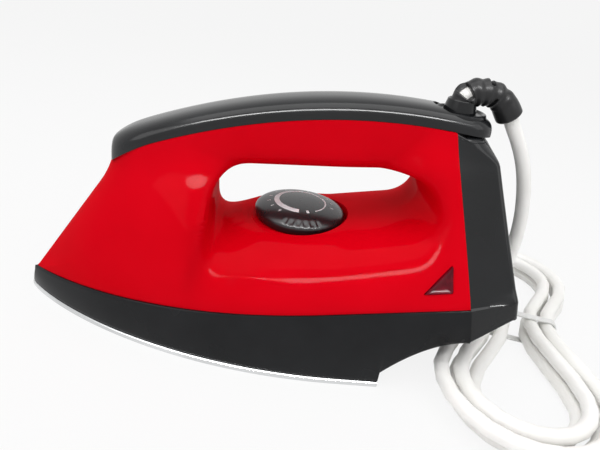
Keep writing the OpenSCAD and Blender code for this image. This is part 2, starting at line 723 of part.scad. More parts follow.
module fixed_contact_blade() {
    color("peru") {
        blade(fixed_z, blade_t, dial_x - 2, 6, rivet_d + 2 * running);
        translate([contact_x, 0, fixed_z]) cylinder(d = 3, h = blade_t + 1.2);
    }
}
module moving_contact_blade() {
    color("peru") {
        blade(moving_z, blade_t, dial_x + 4, 6, rivet_d + 0.6);
        translate([contact_x, 0, moving_z - 1.3]) cylinder(d = 3, h = 1.3 + blade_t);
    }
}

// Pilot light behind the lower rear corner of the near side
module pilot_lens() {
    color("#ff5030") at_lens() lens_prism(0, -wall - 0.6, 0.4);
}
module lamp_holder() {
    color("ivory") at_lens() translate([0, 0, -wall - 13.8]) difference() {
        cylinder(d = 8, h = 12);
        translate([0, 0, 1.5]) cylinder(d = 6, h = 12);
    }
}
module pilot_lamp() {
    color("orange") at_lens() translate([0, 0, -wall - 12.1]) cylinder(d = 5.6, h = 9.6);
}

// Terminal block on the bracket, and the leads
lead_d = 2.6;
block_x = bracket_x + bracket_t;
pole = 11;
module terminal_block() {
    color("ivory") difference() {
        translate([block_x, -block_w / 2, block_z]) cube([block_t, block_w, block_h]);
        for (y = [-pole, 0, pole]) translate([block_x + 2, y, block_z + block_h / 2]) rotate([0, 90, 0])
            cylinder(d = 3.7, h = block_t);
    }
}
module terminal_screws() {
    for (y = [-pole, 0, pole]) translate([block_x + block_t, y, block_z + block_h / 2]) rotate([0, 90, 0])
        color("goldenrod") pan_screw(3.6, block_t - 2.5, 6, 1.6);
}
block_foot = [block_x + block_t / 2, block_z - 0.2];
pin_top = terminal_z + 13.5 + lead_d / 2;
module lead(path) {
    tube(path, same(lead_d / 2, path), 8);
}
module live_lead() {
    color("sienna") lead([
        [block_foot.x, -pole, block_foot.y], [block_foot.x, -pole, block_foot.y - 7],
        [block_foot.x - 6, -pole - 6, block_foot.y - 18], [bracket_x - 10, -26, 47],
        [bracket_x - 20, -terminal_at.y, pin_top + 1],
        [terminal_at.x, -terminal_at.y, pin_top]
    ]);
}
fuse_at = [pillar_x - 4, 15, shield_z + shield_t + 2.4];
module neutral_lead() {
    color("royalblue") {
        lead([
            [block_foot.x, pole, block_foot.y], [block_foot.x, pole, block_foot.y - 7],
            [block_foot.x - 6, pole + 6, block_foot.y - 18], [bracket_x - 10, 22, 46],
            [bracket_x - 26, 17, 32], [fuse_at.x + 16, fuse_at.y, fuse_at.z + 1],
            [fuse_at.x + 6.1, fuse_at.y, fuse_at.z]
        ]);
        lead([
            [terminal_at.x, terminal_at.y, pin_top], [terminal_at.x - 12, terminal_at.y - 2, pin_top - 2],
            [dial_x + 6, 18, moving_z + 9], [stack_x + 11, 12, moving_z + 6],
            [stack_x + 8, 6.5, moving_z + 3], [stack_x + 8, 4.8, moving_z + 0.6]
        ]);
    }
}
module thermal_fuse() {
    color("silver") translate(fuse_at) rotate([0, 90, 0]) {
        translate([0, 0, -6]) cylinder(d = 4.4, h = 12);
        translate([0, 0, -12]) cylinder(d = 1.2, h = 6);
    }
}
module earth_lead() {
    color("yellowgreen") lead([
        [block_foot.x, 0, block_foot.y], [block_foot.x, 0, block_foot.y - 2],
        [block_x + lead_d, 0, block_foot.y - 4], [block_x + lead_d / 2 + 0.3, 0, block_foot.y - 5.5]
    ]);
}

// Swivel: a fixed collar in the handle cover, and the barrel and cord guard that turn in it
sleeve_z = seat_top - 13;
flange_t = 1.8;
neck_top = seat_top + collar_t + 1.8;
guard_z = neck_top + 0.8;
module at_swivel(z) {
    translate([swivel_x, 0, z]) children();
}
module swivel_collar() {
    color("#2b2c30") difference() {
        union() {
            at_swivel(seat_top) cylinder(d = collar_d, h = collar_t - 0.8);
            at_swivel(seat_top + collar_t - 0.8) cylinder(d1 = collar_d, d2 = collar_d - 2.4, h = 0.8);
            at_swivel(sleeve_z) cylinder(d = sleeve_d, h = seat_top - sleeve_z + 1);
        }
        at_swivel(sleeve_z - 1) cylinder(r = barrel_d / 2 + running, h = 40);
    }
}
module swivel_neck() {
    low = sleeve_z - fit - flange_t;
    color("#2b2c30") {
        at_swivel(low) cylinder(d = barrel_d + 4, h = flange_t);
        at_swivel(low) cylinder(d = barrel_d, h = neck_top - low);
    }
}

// Cord guard: a ribbed boot that rises from the neck and droops to the rear
guard_d = 13;
guard_ribs = 7;
guard_steps = 3;
guard_route = [
    [swivel_x, 0, guard_z], [swivel_x + 1.4, 0, guard_z + 4], [94, 0, 132.4],
    [101.5, 0, 132.6], [108, 0, 129.2], [113.6, 0, 122.6]
];
function curve_at(p, t) =
    let (
        n = len(p) - 1,
        i = min(floor(t * n), n - 1),
        f = t * n - i,
        a = p[max(i - 1, 0)],
        b = p[i],
        c = p[i + 1],
        d = p[min(i + 2, n)]
    )
    (2 * b + (c - a) * f + (2 * a - 5 * b + 4 * c - d) * f * f + (3 * b - a - 3 * c + d) * pow(f, 3)) / 2;
module cord_guard() {
    n = guard_ribs * guard_steps;
    path = concat([[swivel_x, 0, neck_top]], [for (i = [0:n]) curve_at(guard_route, i / n)]);
    radii = concat([guard_d / 2], [for (i = [0:n]) guard_d / 2 - (i % guard_steps == 1 ? 0.9 : 0)]);
    color("#2b2c30") tube(path, radii, 12);
}

// Cord: a free stretch down to the hank, the hank, and a free stretch to the plug
cord_r = cord_d / 2;
layer_step = cord_d + 0.6;
waist_lift = 1.2;
low_z = cord_r;
high_z = low_z + layer_step + waist_lift;
upper_route = [
    [114.1, 0, 122], [117.4, 0, 117.3], [121.2, 0, 111.8], [125.2, 0, 105.2], [128.6, 0, 98.3],
    [131.6, 0, 90.5], [134.4, 0, 81], [136.6, 0, 70.5], [137.6, -0.4, 58.5], [136.6, -1.6, 45.5],
    [133.4, -4.8, 33.8], [127.6, -11, 23.6], [118.2, -19.4, 16.4], [107.2, -29.8, 12.2],
    [101.8, -37, 11.85]
];
lower_route = [
    [165.4, 81.3, low_z], [157.7, 83.55, low_z], [150.5, 85, 5.4], [144, 85.5, 8], [138.5, 85.5, 9],
    [134.5, 85.5, 9]
];
module cord_upper() {
    color("whitesmoke") tube(upper_route, same(cord_r, upper_route), 10);
}
module cord_lower() {
    color("whitesmoke") tube(lower_route, same(cord_r, lower_route), 10);
}

// Hank: turns spiral in on the top layer, cross to the bottom layer along a run, and spiral out
hank_mid = [146, -12];
hank_u = [0.28, 0.96];
hank_v = [-0.96, 0.28];
hank_half_run = 56;
hank_tight = 22;
hank_pitch = 9.714;
hank_turns = 3.75;
cross_turn = 2;
waist_tight = 4.5;
waist_step = 9;
rings_a_turn = 24;
run_share = 2.5 / 24;
function hank_point(turn) =
    let (
        f = turn - floor(turn),
        away = abs(turn - cross_turn),
        bend = hank_tight + hank_pitch * away,
        waist = waist_tight + waist_step * away,
        t = f > 0.5 ? f - 0.5 : f,
        flip = f > 0.5 ? -1 : 1,
        side = t > 0.25 ? -1 : 1,
        along = t < run_share ? -t / run_share : t > 0.5 - run_share ? (0.5 - t) / run_share : 0,
        a = 180 * share((t - run_share) / (0.5 - 2 * run_share)),
        in_run = t <= run_share || t >= 0.5 - run_share,
        spread = ease(abs(along)),
        u = in_run ? side * along * hank_half_run : -hank_half_run - bend * sin(a),
        v = in_run ? side * mix(waist, bend, spread) : bend * cos(a),
        drop = share((turn - cross_turn + run_share) / (2 * run_share)),
        z = low_z + layer_step * (1 - ease(drop)) + (in_run ? waist_lift * (1 - spread) : 0)
    )
    [flip * u, flip * v, z];
function hank_world(p) = [
    hank_mid.x + p.x * hank_u.x + p.y * hank_v.x,
    hank_mid.y + p.x * hank_u.y + p.y * hank_v.y,
    p.z
];
hank_route = concat(
    [upper_route[len(upper_route) - 1]],
    [for (i = [2:hank_turns * rings_a_turn]) hank_world(hank_point(i / rings_a_turn))],
    [lower_route[0]]
);
// Least distance between stretches of the hank that are over a quarter turn apart, less the cord
function least_gap(p, skip) = min([
    for (i = [0:len(p) - 2 - skip]) for (j = [i + skip:len(p) - 2])
        norm((p[i] + p[i + 1]) / 2 - (p[j] + p[j + 1]) / 2)
]) - cord_d;
echo("least gap of the hank to itself", least_gap(hank_route, 6));
module cord_hank() {
    color("whitesmoke") tube(hank_route, same(cord_r, hank_route), 6);
}
tie_w = 4;
tie_t = 0.9;
module hank_tie() {
    gap = fit;
    v0 = -waist_tight - 1.5 * waist_step - cord_r - gap;
    v1 = waist_tight + waist_step + cord_r + gap;
    z0 = low_z + waist_lift - cord_r - gap;
    z1 = high_z + cord_r + gap;
    color("white") translate([hank_mid.x, hank_mid.y, 0]) rotate(atan2(hank_u.y, hank_u.x))
        rotate([90, 0, 90]) linear_extrude(tie_w, center = true) difference() {
            translate([v0 - tie_t, z0 - tie_t]) square([v1 - v0 + 2 * tie_t, z1 - z0 + 2 * tie_t]);
            translate([v0, z0]) square([v1 - v0, z1 - z0]);
        }
}

// Plug with three round pins, lying on its flat side behind the iron
plug_at = [99.5, 85.5];
plug_w = 44;
plug_h = 38;
plug_body_l = 20;
earth_pin = [7.05, 21];
pole_pin = [5.05, 15];
pin_y = 19.05 / 2;
pin_low = 9;
pin_high = pin_low + 22.2;
pin_root = 6;
module plug_face(w, h) {
    intersection() {
        translate([0, h / 2]) resize([w, h + 8]) circle(d = w, $fn = 32);
        translate([-w / 2, 0]) square([w, h]);
    }
}
module pin_at(y, z, size, spare) {
    translate([plug_at.x, plug_at.y + y, z]) rotate([0, 90, 0]) {
        translate([0, 0, -size[1]]) cylinder(d = size[0], h = size[1]);
        cylinder(d = 0.7 * size[0] + spare, h = pin_root + spare);
    }
}
module plug_pins_set(spare) {
    pin_at(0, pin_high, earth_pin, spare);
    for (side = [-1, 1]) pin_at(side * pin_y, pin_low, pole_pin, spare);
}
module plug_body() {
    exit = lower_route[len(lower_route) - 1];
    color("#e9e9e6") difference() {
        union() {
            translate([plug_at.x, plug_at.y, 0]) rotate([90, 0, 90]) linear_extrude(plug_body_l)
                plug_face(plug_w, plug_h);
            hull() {
                translate([plug_at.x + plug_body_l - 1, plug_at.y, 0]) rotate([90, 0, 90])
                    linear_extrude(1) plug_face(0.8 * plug_w, 0.8 * plug_h);
                translate([exit.x - 1, exit.y, exit.z]) rotate([0, 90, 0])
                    cylinder(d = cord_d + 5, h = 1, $fn = 32);
            }
        }
        plug_pins_set(0.04);
    }
}
module plug_pins() {
    color("silver") plug_pins_set(0);
}

soleplate();
heating_element();
element_terminals();
heat_shield();
shield_screws();
skirt();
body_shell();
handle_cover();
rear_cover();
rear_cover_screw();
rear_bracket();
front_tie_screw();
dial();
dial_spindle();
thermostat_base();
thermostat_insulators();
thermostat_rivet();
fixed_contact_blade();
moving_contact_blade();
bimetal_strip();
pilot_lens();
pilot_lamp();
lamp_holder();
terminal_block();
terminal_screws();
live_lead();
neutral_lead();
earth_lead();
thermal_fuse();
swivel_collar();
swivel_neck();
cord_guard();
cord_upper();
cord_hank();
hank_tie();
cord_lower();
plug_body();
plug_pins();
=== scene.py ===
# Dry iron, dressed round its imported CAD frame
# The frame: the imported CAD model, its meshes laid out in world space, and helpers that hang pieces on its
# bodies
import math

import bmesh
import bpy
import numpy as np
from mathutils import Matrix, Vector


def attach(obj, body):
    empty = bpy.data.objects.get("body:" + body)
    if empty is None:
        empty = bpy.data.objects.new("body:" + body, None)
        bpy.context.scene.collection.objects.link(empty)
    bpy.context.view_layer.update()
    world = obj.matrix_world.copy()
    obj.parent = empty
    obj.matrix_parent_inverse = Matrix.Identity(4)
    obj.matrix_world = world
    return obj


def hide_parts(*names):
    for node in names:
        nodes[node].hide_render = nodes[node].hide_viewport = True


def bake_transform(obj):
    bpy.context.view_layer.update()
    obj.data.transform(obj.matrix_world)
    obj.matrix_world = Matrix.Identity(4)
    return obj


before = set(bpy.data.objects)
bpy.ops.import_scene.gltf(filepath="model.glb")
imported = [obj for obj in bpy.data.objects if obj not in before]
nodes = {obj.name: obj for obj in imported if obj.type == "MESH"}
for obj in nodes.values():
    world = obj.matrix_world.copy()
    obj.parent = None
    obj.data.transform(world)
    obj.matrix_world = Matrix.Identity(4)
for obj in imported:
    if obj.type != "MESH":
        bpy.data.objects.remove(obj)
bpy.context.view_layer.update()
MM = 0.001


# Camera
# It stands in front of the near side, a little above it, and is rolled as the hand-held view is.
# Lens and place come from fitting the iron's outline; the frame is 600 by 450 points.
VIEW_AZIMUTH = math.radians(-5.78)
VIEW_ELEVATION = math.radians(25.84)
VIEW_ROLL = math.radians(8.34)
VIEW_DISTANCE = 277.44
VIEW_TARGET = np.array([18.98, 0, 52.5])
LENS_POINTS = 520.35
FRAME_WIDTH = 600
SENSOR = 36


def aim_camera():
    """Turns the camera's own right, up and back axes to the view, with right and up turned by the roll."""
    back = np.array([
        math.sin(VIEW_AZIMUTH) * math.cos(VIEW_ELEVATION),
        -math.cos(VIEW_AZIMUTH) * math.cos(VIEW_ELEVATION),
        math.sin(VIEW_ELEVATION),
    ])
    level = np.cross(-back, [0, 0, 1])
    level /= np.linalg.norm(level)
    upright = np.cross(level, -back)
    right = level * math.cos(VIEW_ROLL) + upright * math.sin(VIEW_ROLL)
    up = -level * math.sin(VIEW_ROLL) + upright * math.cos(VIEW_ROLL)
    place = (VIEW_TARGET + back * VIEW_DISTANCE) * MM
    turned = Matrix(np.column_stack([right, up, back]).tolist()).to_4x4()
    camera = bpy.data.objects.new("camera", bpy.data.cameras.new("camera"))
    bpy.context.scene.collection.objects.link(camera)
    camera.matrix_world = Matrix.Translation(Vector(place.tolist())) @ turned
    camera.data.sensor_width = SENSOR
    camera.data.lens = LENS_POINTS / FRAME_WIDTH * SENSOR
    camera.data.clip_start = 0.01
    bpy.context.scene.camera = camera


aim_camera()


# Cord
# White flexible mains cord with a smooth PVC sheath, 7.2 mm thick and 1.8 m long. It hangs from the
# cord guard to the ground behind the heel, is folded into a hank there, and ends in the plug.
CORD_R = 3.6
LOW_Z = CORD_R
LAYER_STEP = 2 * CORD_R + 0.6
WAIST_LIFT = 1.2
HIGH_Z = LOW_Z + LAYER_STEP + WAIST_LIFT
UPPER_ROUTE = [
    (114.1, 0, 122), (117.4, 0, 117.3), (121.2, 0, 111.8), (125.2, 0, 105.2), (128.6, 0, 98.3),
    (131.6, 0, 90.5), (134.4, 0, 81), (136.6, 0, 70.5), (137.6, -0.4, 58.5), (136.6, -1.6, 45.5),
    (133.4, -4.8, 33.8), (127.6, -11, 23.6), (118.2, -19.4, 16.4), (107.2, -29.8, 12.2),
    (101.8, -37, 11.85),
]
LOWER_ROUTE = [
    (165.4, 81.3, LOW_Z), (157.7, 83.55, LOW_Z), (150.5, 85, 5.4), (144, 85.5, 8), (138.5, 85.5, 9),
    (134.5, 85.5, 9),
]
HANK_MID = np.array([146, -12])
HANK_ALONG = np.array([0.28, 0.96])
HANK_ACROSS = np.array([-0.96, 0.28])
HANK_HALF_RUN = 56
HANK_TIGHT = 22
HANK_PITCH = 9.714
HANK_TURNS = 3.75
CROSS_TURN = 2
WAIST_TIGHT = 4.5
WAIST_STEP = 9
RUN_SHARE = 2.5 / 24
RINGS_A_TURN = 40
FIRST_RING = 3


def share(t):
    """Keeps a number between 0 and 1."""
    return np.clip(t, 0, 1)


def mix(a, b, t):
    """The value a share t of the way from a to b."""
    return a + (b - a) * t


def ease(t):
    """Smooth step 3 c^2 - 2 c^3 of a share c."""
    c = share(t)
    return c * c * (3 - 2 * c)


def linear(code):
    """sRGB hex to linear: c / 12.92 up to 0.04045, and ((c + 0.055) / 1.055) ^ 2.4 above it."""
    c = np.array([int(code[i:i + 2], 16) for i in (1, 3, 5)]) / 255
    return (*np.where(c > 0.04045, ((c + 0.055) / 1.055) ** 2.4, c / 12.92).tolist(), 1)


def new_material(name):
    """An empty node tree of a named material, with its output node."""
    material = bpy.data.materials.new(name)
    material.use_nodes = True
    material.node_tree.nodes.clear()
    return material, material.node_tree


def add_node(tree, kind, inputs=None, **settings):
    """One node with its settings; an input that is another node's output is linked, others are set."""
    node = tree.nodes.new(kind)
    for key, value in settings.items():
        setattr(node, key, value)
    for socket, value in (inputs or {}).items():
        if isinstance(value, bpy.types.NodeSocket):
            tree.links.new(value, node.inputs[socket])
        else:
            node.inputs[socket].default_value = value
    return node


def surfaced(name, dark, light, patch_mm, roughness, grain_mm, depth_mm, stretch=(1, 1, 1), **shader):
    """A finish whose colour drifts between two shades in soft patches, over a fine grain.

    Patches and grain are noise on Object coordinates, at one over their size in metres. The grain drives
    the bump by its real depth, and its wide part moves the roughness by a few hundredths.
    """
    material, tree = new_material(name)
    place = add_node(tree, "ShaderNodeTexCoord")
    laid = add_node(tree, "ShaderNodeMapping", {"Vector": place.outputs["Object"], "Scale": stretch})
    patch = add_node(tree, "ShaderNodeTexNoise", {
        "Vector": laid.outputs["Vector"], "Scale": 1000 / patch_mm, "Detail": 3.0})
    grain = add_node(tree, "ShaderNodeTexNoise", {
        "Vector": laid.outputs["Vector"], "Scale": 1000 / grain_mm, "Detail": 4.0})
    shade = add_node(tree, "ShaderNodeValToRGB", {"Fac": patch.outputs["Fac"]})
    shade.color_ramp.elements[0].position = 0.3
    shade.color_ramp.elements[0].color = linear(dark)
    shade.color_ramp.elements[1].position = 0.7
    shade.color_ramp.elements[1].color = linear(light)
    gloss = add_node(tree, "ShaderNodeMapRange", {
        "Value": patch.outputs["Fac"], "From Min": 0.3, "From Max": 0.7,
        "To Min": max(roughness - 0.03, 0.02), "To Max": roughness + 0.04})
    relief = add_node(tree, "ShaderNodeBump", {
        "Height": grain.outputs["Fac"], "Distance": depth_mm * MM, "Strength": 1.0})
    body = add_node(tree, "ShaderNodeBsdfPrincipled", {
        "Base Color": shade.outputs["Color"], "Roughness": gloss.outputs["Result"],
        "Normal": relief.outputs["Normal"], **shader})
    add_node(tree, "ShaderNodeOutputMaterial", {"Surface": body.outputs["BSDF"]})
    return material


def grid_quads(rows, cols, wrap_rows=False, wrap_cols=False, start=0):
    """Quads of a grid of points: each joins a point, the next in its row, and the two in the next row."""
    i = np.arange(rows if wrap_rows else rows - 1)[:, None]
    k = np.arange(cols if wrap_cols else cols - 1)[None, :]
    here, ahead = i * cols, (i + 1) % rows * cols
    near, far = k, (k + 1) % cols
    return start + np.stack([here + near, here + far, ahead + far, ahead + near], -1).reshape(-1, 4)


def piece(name, parts, material, crease=35):
    """One mesh object from parts, each a pair of points in millimetres and faces.

    Points that meet are merged and normals turned outwards; each part is a closed surface of one
    stretch, so its signed volume tells whether it has to be turned over. Edges sharper than the crease
    angle in degrees stay sharp.
    """
    whole = bmesh.new()
    for points, faces in parts:
        data = bpy.data.meshes.new("part")
        flat = np.asarray(points, float).reshape(-1, 3) * MM
        data.from_pydata(flat.tolist(), [], [tuple(dict.fromkeys(f)) for f in np.asarray(faces).tolist()])
        one = bmesh.new()
        one.from_mesh(data)
        bmesh.ops.remove_doubles(one, verts=one.verts, dist=1e-6)
        bmesh.ops.recalc_face_normals(one, faces=one.faces)
        if one.calc_volume(signed=True) < 0:
            bmesh.ops.reverse_faces(one, faces=one.faces)
        one.to_mesh(data)
        one.free()
        whole.from_mesh(data)
        bpy.data.meshes.remove(data)
    mesh = bpy.data.meshes.new(name)
    whole.to_mesh(mesh)
    whole.free()
    made = bpy.data.objects.new(name, mesh)
    bpy.context.scene.collection.objects.link(made)
    mesh.materials.append(material)
    smooth(made, crease)
    return made


def smooth(made, crease):
    """Smooth shading all over, with edges sharper than the crease angle in degrees kept sharp."""
    made.data.polygons.foreach_set("use_smooth", np.ones(len(made.data.polygons), bool))
    made.data.set_sharp_from_angle(angle=math.radians(crease))


def curve_through(points, steps):
    """Catmull-Rom curve: each stretch between two points leaves and arrives along its neighbours' chord."""
    p = np.asarray(points, float)
    p = np.vstack([2 * p[0] - p[1], p, 2 * p[-1] - p[-2]])
    f = (np.arange(steps) / steps)[None, :, None]
    a, b, c, d = (p[i:len(p) - 3 + i][:, None, :] for i in range(4))
    bend = (2 * a - 5 * b + 4 * c - d) * f ** 2 + (3 * b - a - 3 * c + d) * f ** 3
    curve = (2 * b + (c - a) * f + bend) / 2
    return np.vstack([curve.reshape(-1, 3), p[-2]])


def cross_sections(path):
    """Two unit vectors square to a path at each of its points; the first starts upright and never spins."""
    ahead = np.gradient(np.asarray(path, float), axis=0)
    ahead /= np.linalg.norm(ahead, axis=1, keepdims=True)
    side = np.empty_like(ahead)
    last = np.array([0.1, 0.3, 1.0])
    for i, a in enumerate(ahead):
        last = last - (last @ a) * a
        last = last / np.linalg.norm(last)
        side[i] = last
    return side, np.cross(ahead, side)


def tube(path, radius, sides):
    """Points and faces of a round tube: path + r (cos q n + sin q b), its ends closed by a fan.

    The radius is one number, one for each point of the path, or one for each point and angle.
    """
    path = np.asarray(path, float)
    n, b = cross_sections(path)
    q = np.linspace(0, 2 * np.pi, sides, endpoint=False)
    r = np.broadcast_to(np.asarray(radius, float), (sides, len(path))).T if np.ndim(radius) < 2 else radius
    ring = n[:, None] * np.cos(q)[None, :, None] + b[:, None] * np.sin(q)[None, :, None]
    skin = path[:, None] + np.asarray(r)[..., None] * ring
    return lathe_closed(skin, path[0], path[-1])


def lathe_closed(rings, first, last):
    """Rings of points joined by quads, with the first and last ring closed to a middle point each."""
    count, sides = rings.shape[:2]
    points = np.vstack([rings.reshape(-1, 3), first, last])
    q = np.arange(sides)
    ahead = (q + 1) % sides
    low = np.stack([np.full(sides, count * sides), ahead, q, q], -1)
    high = np.stack([np.full(sides, count * sides + 1), q, ahead, ahead], -1)
    high[:, 1:] += (count - 1) * sides
    return points, np.vstack([grid_quads(count, sides, wrap_cols=True), low, high])


def hank_path():
    """Turns of the hank: two straight-ish runs that nip in at the waist, and a half circle at each fold.

    The bend and the waist widen with the distance from the crossing turn, where the cord drops from the
    upper layer to the lower one.
    """
    turn = np.arange(FIRST_RING, HANK_TURNS * RINGS_A_TURN + 1) / RINGS_A_TURN
    f = turn % 1
    away = np.abs(turn - CROSS_TURN)
    bend = HANK_TIGHT + HANK_PITCH * away
    waist = WAIST_TIGHT + WAIST_STEP * away
    t = np.where(f > 0.5, f - 0.5, f)
    flip = np.where(f > 0.5, -1, 1)
    side = np.where(t > 0.25, -1, 1)
    along = np.where(t < RUN_SHARE, -t / RUN_SHARE, np.where(t > 0.5 - RUN_SHARE, (0.5 - t) / RUN_SHARE, 0))
    a = np.pi * share((t - RUN_SHARE) / (0.5 - 2 * RUN_SHARE))
    in_run = (t <= RUN_SHARE) | (t >= 0.5 - RUN_SHARE)
    spread = ease(np.abs(along))
    u = np.where(in_run, side * along * HANK_HALF_RUN, -HANK_HALF_RUN - bend * np.sin(a))
    v = np.where(in_run, side * mix(waist, bend, spread), bend * np.cos(a))
    drop = (turn - CROSS_TURN + RUN_SHARE) / (2 * RUN_SHARE)
    z = LOW_Z + LAYER_STEP * (1 - ease(drop)) + np.where(in_run, WAIST_LIFT * (1 - spread), 0)
    flat = HANK_MID + (flip * u)[:, None] * HANK_ALONG + (flip * v)[:, None] * HANK_ACROSS
    return np.column_stack([flat, z])


pvc_sheath = surfaced(
    # Extruded soft PVC: white with a faint warm cast, satin, nearly without grain
    "white_pvc_sheath", "#f2f1ed", "#fbfaf8", 30, 0.42, 0.9, 0.012, **{"Specular IOR Level": 0.4})
cord_line = np.vstack([
    curve_through(UPPER_ROUTE, 6),
    hank_path(),
    curve_through(LOWER_ROUTE, 4),
])
cord_line[:, 2] = np.maximum(cord_line[:, 2], LOW_Z)
cord = piece("mains_cord", [tube(cord_line, CORD_R, 20)], pvc_sheath)


# Soleplate
# Die-cast aluminium: a flat plate ground and polished on its face and rim, with a raised pad that holds
# the element, and pillars for the screws. Its rim is the bright line under the skirt.
NOSE_X = -122.5
HEEL_X = 122.5
SOLE_END = NOSE_X + 183
SOLE_HALF = 61
SOLE_T = 3
PAD_TOP = 10
PAD_IN = 9
SHIELD_Z = PAD_TOP + 12
BOLT_X = NOSE_X + 64.5
PILLAR_X = SOLE_END - 20
PILLAR_Y = 0.36 * SOLE_HALF


def nose_curve(t, p, q):
    """A pointed nose that grows to its full width: (1 - (1 - t) ^ p) ^ (1 / q)."""
    return (1 - (1 - share(t)) ** p) ** (1 / q)


def sole_half(x):
    """Half width of the soleplate at a distance along it."""
    return SOLE_HALF * nose_curve((x - NOSE_X) / 163.6, 2.08, 1.17)


def outline(x, half):
    """Closed outline of points: the near side from nose to heel, then the far side back."""
    return np.vstack([np.column_stack([x, -half]), np.column_stack([x[::-1], half[::-1]])])


def stacked(outline_at, levels):
    """A slab from outlines at heights: each level is an inset and a height, its ends closed flat."""
    rings = np.array([np.column_stack([outline_at(inset), np.full(len(outline_at(inset)), z)])
                      for inset, z in levels])
    count, sides = rings.shape[:2]
    half = sides // 2
    k = np.arange(half - 1)
    cap = np.stack([k, k + 1, sides - 2 - k, sides - 1 - k], -1)
    return rings, np.vstack([grid_quads(count, sides, wrap_cols=True), cap, cap + (count - 1) * sides])


def sole_outline(inset):
    """The soleplate's outline drawn in by an inset, crowded towards the nose where it curves most."""
    s = np.linspace(0, 1, 110) ** 1.7
    x = mix(NOSE_X + inset, SOLE_END - inset, s)
    return outline(x, np.maximum(sole_half(x) - inset * 1.05, 0.02))


def pad_outline(inset):
    """The cast pad's outline, well inside the rim, with a blunt nose."""
    s = np.linspace(0, 1, 60) ** 1.7
    x = mix(NOSE_X + 2.2 * PAD_IN + inset, SOLE_END - PAD_IN - inset, s)
    return outline(x, np.maximum(sole_half(x) - 1.1 * PAD_IN - inset, 0.4))


def turned(profile, centre, sides=48, axis="z"):
    """A turned form: each profile pair is a radius and a height, carried round the axis at the centre."""
    profile = np.asarray(profile, float)
    q = np.linspace(0, 2 * np.pi, sides, endpoint=False)
    r, h = profile[:, 0][:, None], profile[:, 1][:, None]
    flat = (r * np.cos(q), r * np.sin(q), h + 0 * q)
    order = {"z": (0, 1, 2), "x": (2, 0, 1)}[axis]
    rings = np.stack([flat[i] for i in order], -1) + centre
    top, foot = np.zeros(3), np.zeros(3)
    foot[2 if axis == "z" else 0] = profile[0, 1]
    top[2 if axis == "z" else 0] = profile[-1, 1]
    return lathe_closed(rings, foot + centre, top + centre)


def pillar(x, y):
    """A short screw pillar with a broken upper edge."""
    return turned([(5.5, PAD_TOP - 1), (5.5, SHIELD_Z - 0.5), (5, SHIELD_Z)], (x, y, 0))


polished_aluminium = surfaced(
    # Ground and polished: bright, with fine lines along the stroke that blur its reflections lengthwise
    "polished_aluminium", "#c9cacb", "#e4e5e6", 14, 0.2, 1.2, 0.01, (0.06, 1, 1), Metallic=1.0)
soleplate = piece("soleplate_casting", [
    stacked(sole_outline, [(0.8, 0), (0.25, 0.25), (0, 0.8), (0, 2.6), (0.3, 2.9), (0.7, SOLE_T)]),
    stacked(pad_outline, [(-0.6, SOLE_T - 0.2), (0, SOLE_T + 1), (0.2, PAD_TOP - 0.6), (0.8, PAD_TOP)]),
    pillar(BOLT_X, 0), pillar(PILLAR_X, -PILLAR_Y), pillar(PILLAR_X, PILLAR_Y),
], polished_aluminium)
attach(soleplate, "iron")
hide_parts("soleplate")


# Heating element and heat shield
# A steel-sheathed hairpin on the pad, with ceramic beads and brass posts at its ends, under a thin
# pressed steel shield. They are the CAD pieces themselves, in the finish of each.
def finish(node, material):
    """Gives a CAD node's object a material in every slot."""
    data = nodes[node].data
    if not data.materials:
        data.materials.append(material)
    for i in range(len(data.materials)):
        data.materials[i] = material


sheath_steel = surfaced(
    # Annealed steel tube, darkened by heat in blotches
    "heat_darkened_steel", "#4b4742", "#7a746c", 9, 0.45, 1.0, 0.02, Metallic=1.0)
pressed_steel = surfaced(
    # Bright zinc-plated sheet, with the faint spangle of the plating
    "zinc_plated_steel", "#a9adb0", "#cfd2d4", 6, 0.32, 1.6, 0.01, Metallic=1.0)
turned_brass = surfaced(
    # Drawn brass, warm and slightly dulled
    "drawn_brass", "#a9853c", "#cfae62", 5, 0.3, 0.8, 0.01, Metallic=1.0)
finish("heating_element", sheath_steel)
finish("element_terminals", turned_brass)
finish("heat_shield", pressed_steel)
for screw in ("shield_screws", "front_tie_screw", "rear_bracket"):
    finish(screw, pressed_steel)


# Skirt
# Heat-resistant black moulded plastic, a wall from the soleplate's rim up to the body. It stands out
# as a ledge under the red body, and closes the space behind the soleplate with a rising floor.
WALL = 2.5
FIT = 0.3
SEAM_FRONT = 12.2
SEAM_REAR = 47.8
SEAM_HALF = 54
SEAM_NOSE = NOSE_X + 3
LEDGE = 1.2
LIP = 0.4
SKIRT_FOOT = SOLE_T + FIT
STEP_Z = 7.7
REAR_FOOT_Z = 27.6
SPLIT_LEAN = math.tan(math.radians(11))


def seam_z(x):
    """Height of the joint between skirt and body: a straight line that climbs from nose to heel."""
    return mix(SEAM_FRONT, SEAM_REAR, (x - NOSE_X) / (HEEL_X - NOSE_X))


def seam_half(x):
    """Half width of the body at that joint."""
    return SEAM_HALF * nose_curve((x - SEAM_NOSE) / 153, 2.165, 1.045)


SPLIT_FOOT_Z = seam_z(HEEL_X - 25)


def split_x(z):
    """The rear cover's leaning joint in side view."""
    return HEEL_X - 25 - SPLIT_LEAN * (z - SPLIT_FOOT_Z)


REAR_FOOT_X = split_x(REAR_FOOT_Z)


def skirt_half(x, z):
    """Half width of the skirt: straight from its foot just inside the rim to its ledge at the top."""
    foot = (SOLE_HALF - LIP) * nose_curve((x - NOSE_X - LIP) / 163.6, 2.08, 1.17)
    top = (SEAM_HALF + LEDGE) * nose_curve((x - SEAM_NOSE + LEDGE) / 153, 2.165, 1.045)
    return mix(foot, top, (z - SKIRT_FOOT) / (seam_z(x) - SKIRT_FOOT))


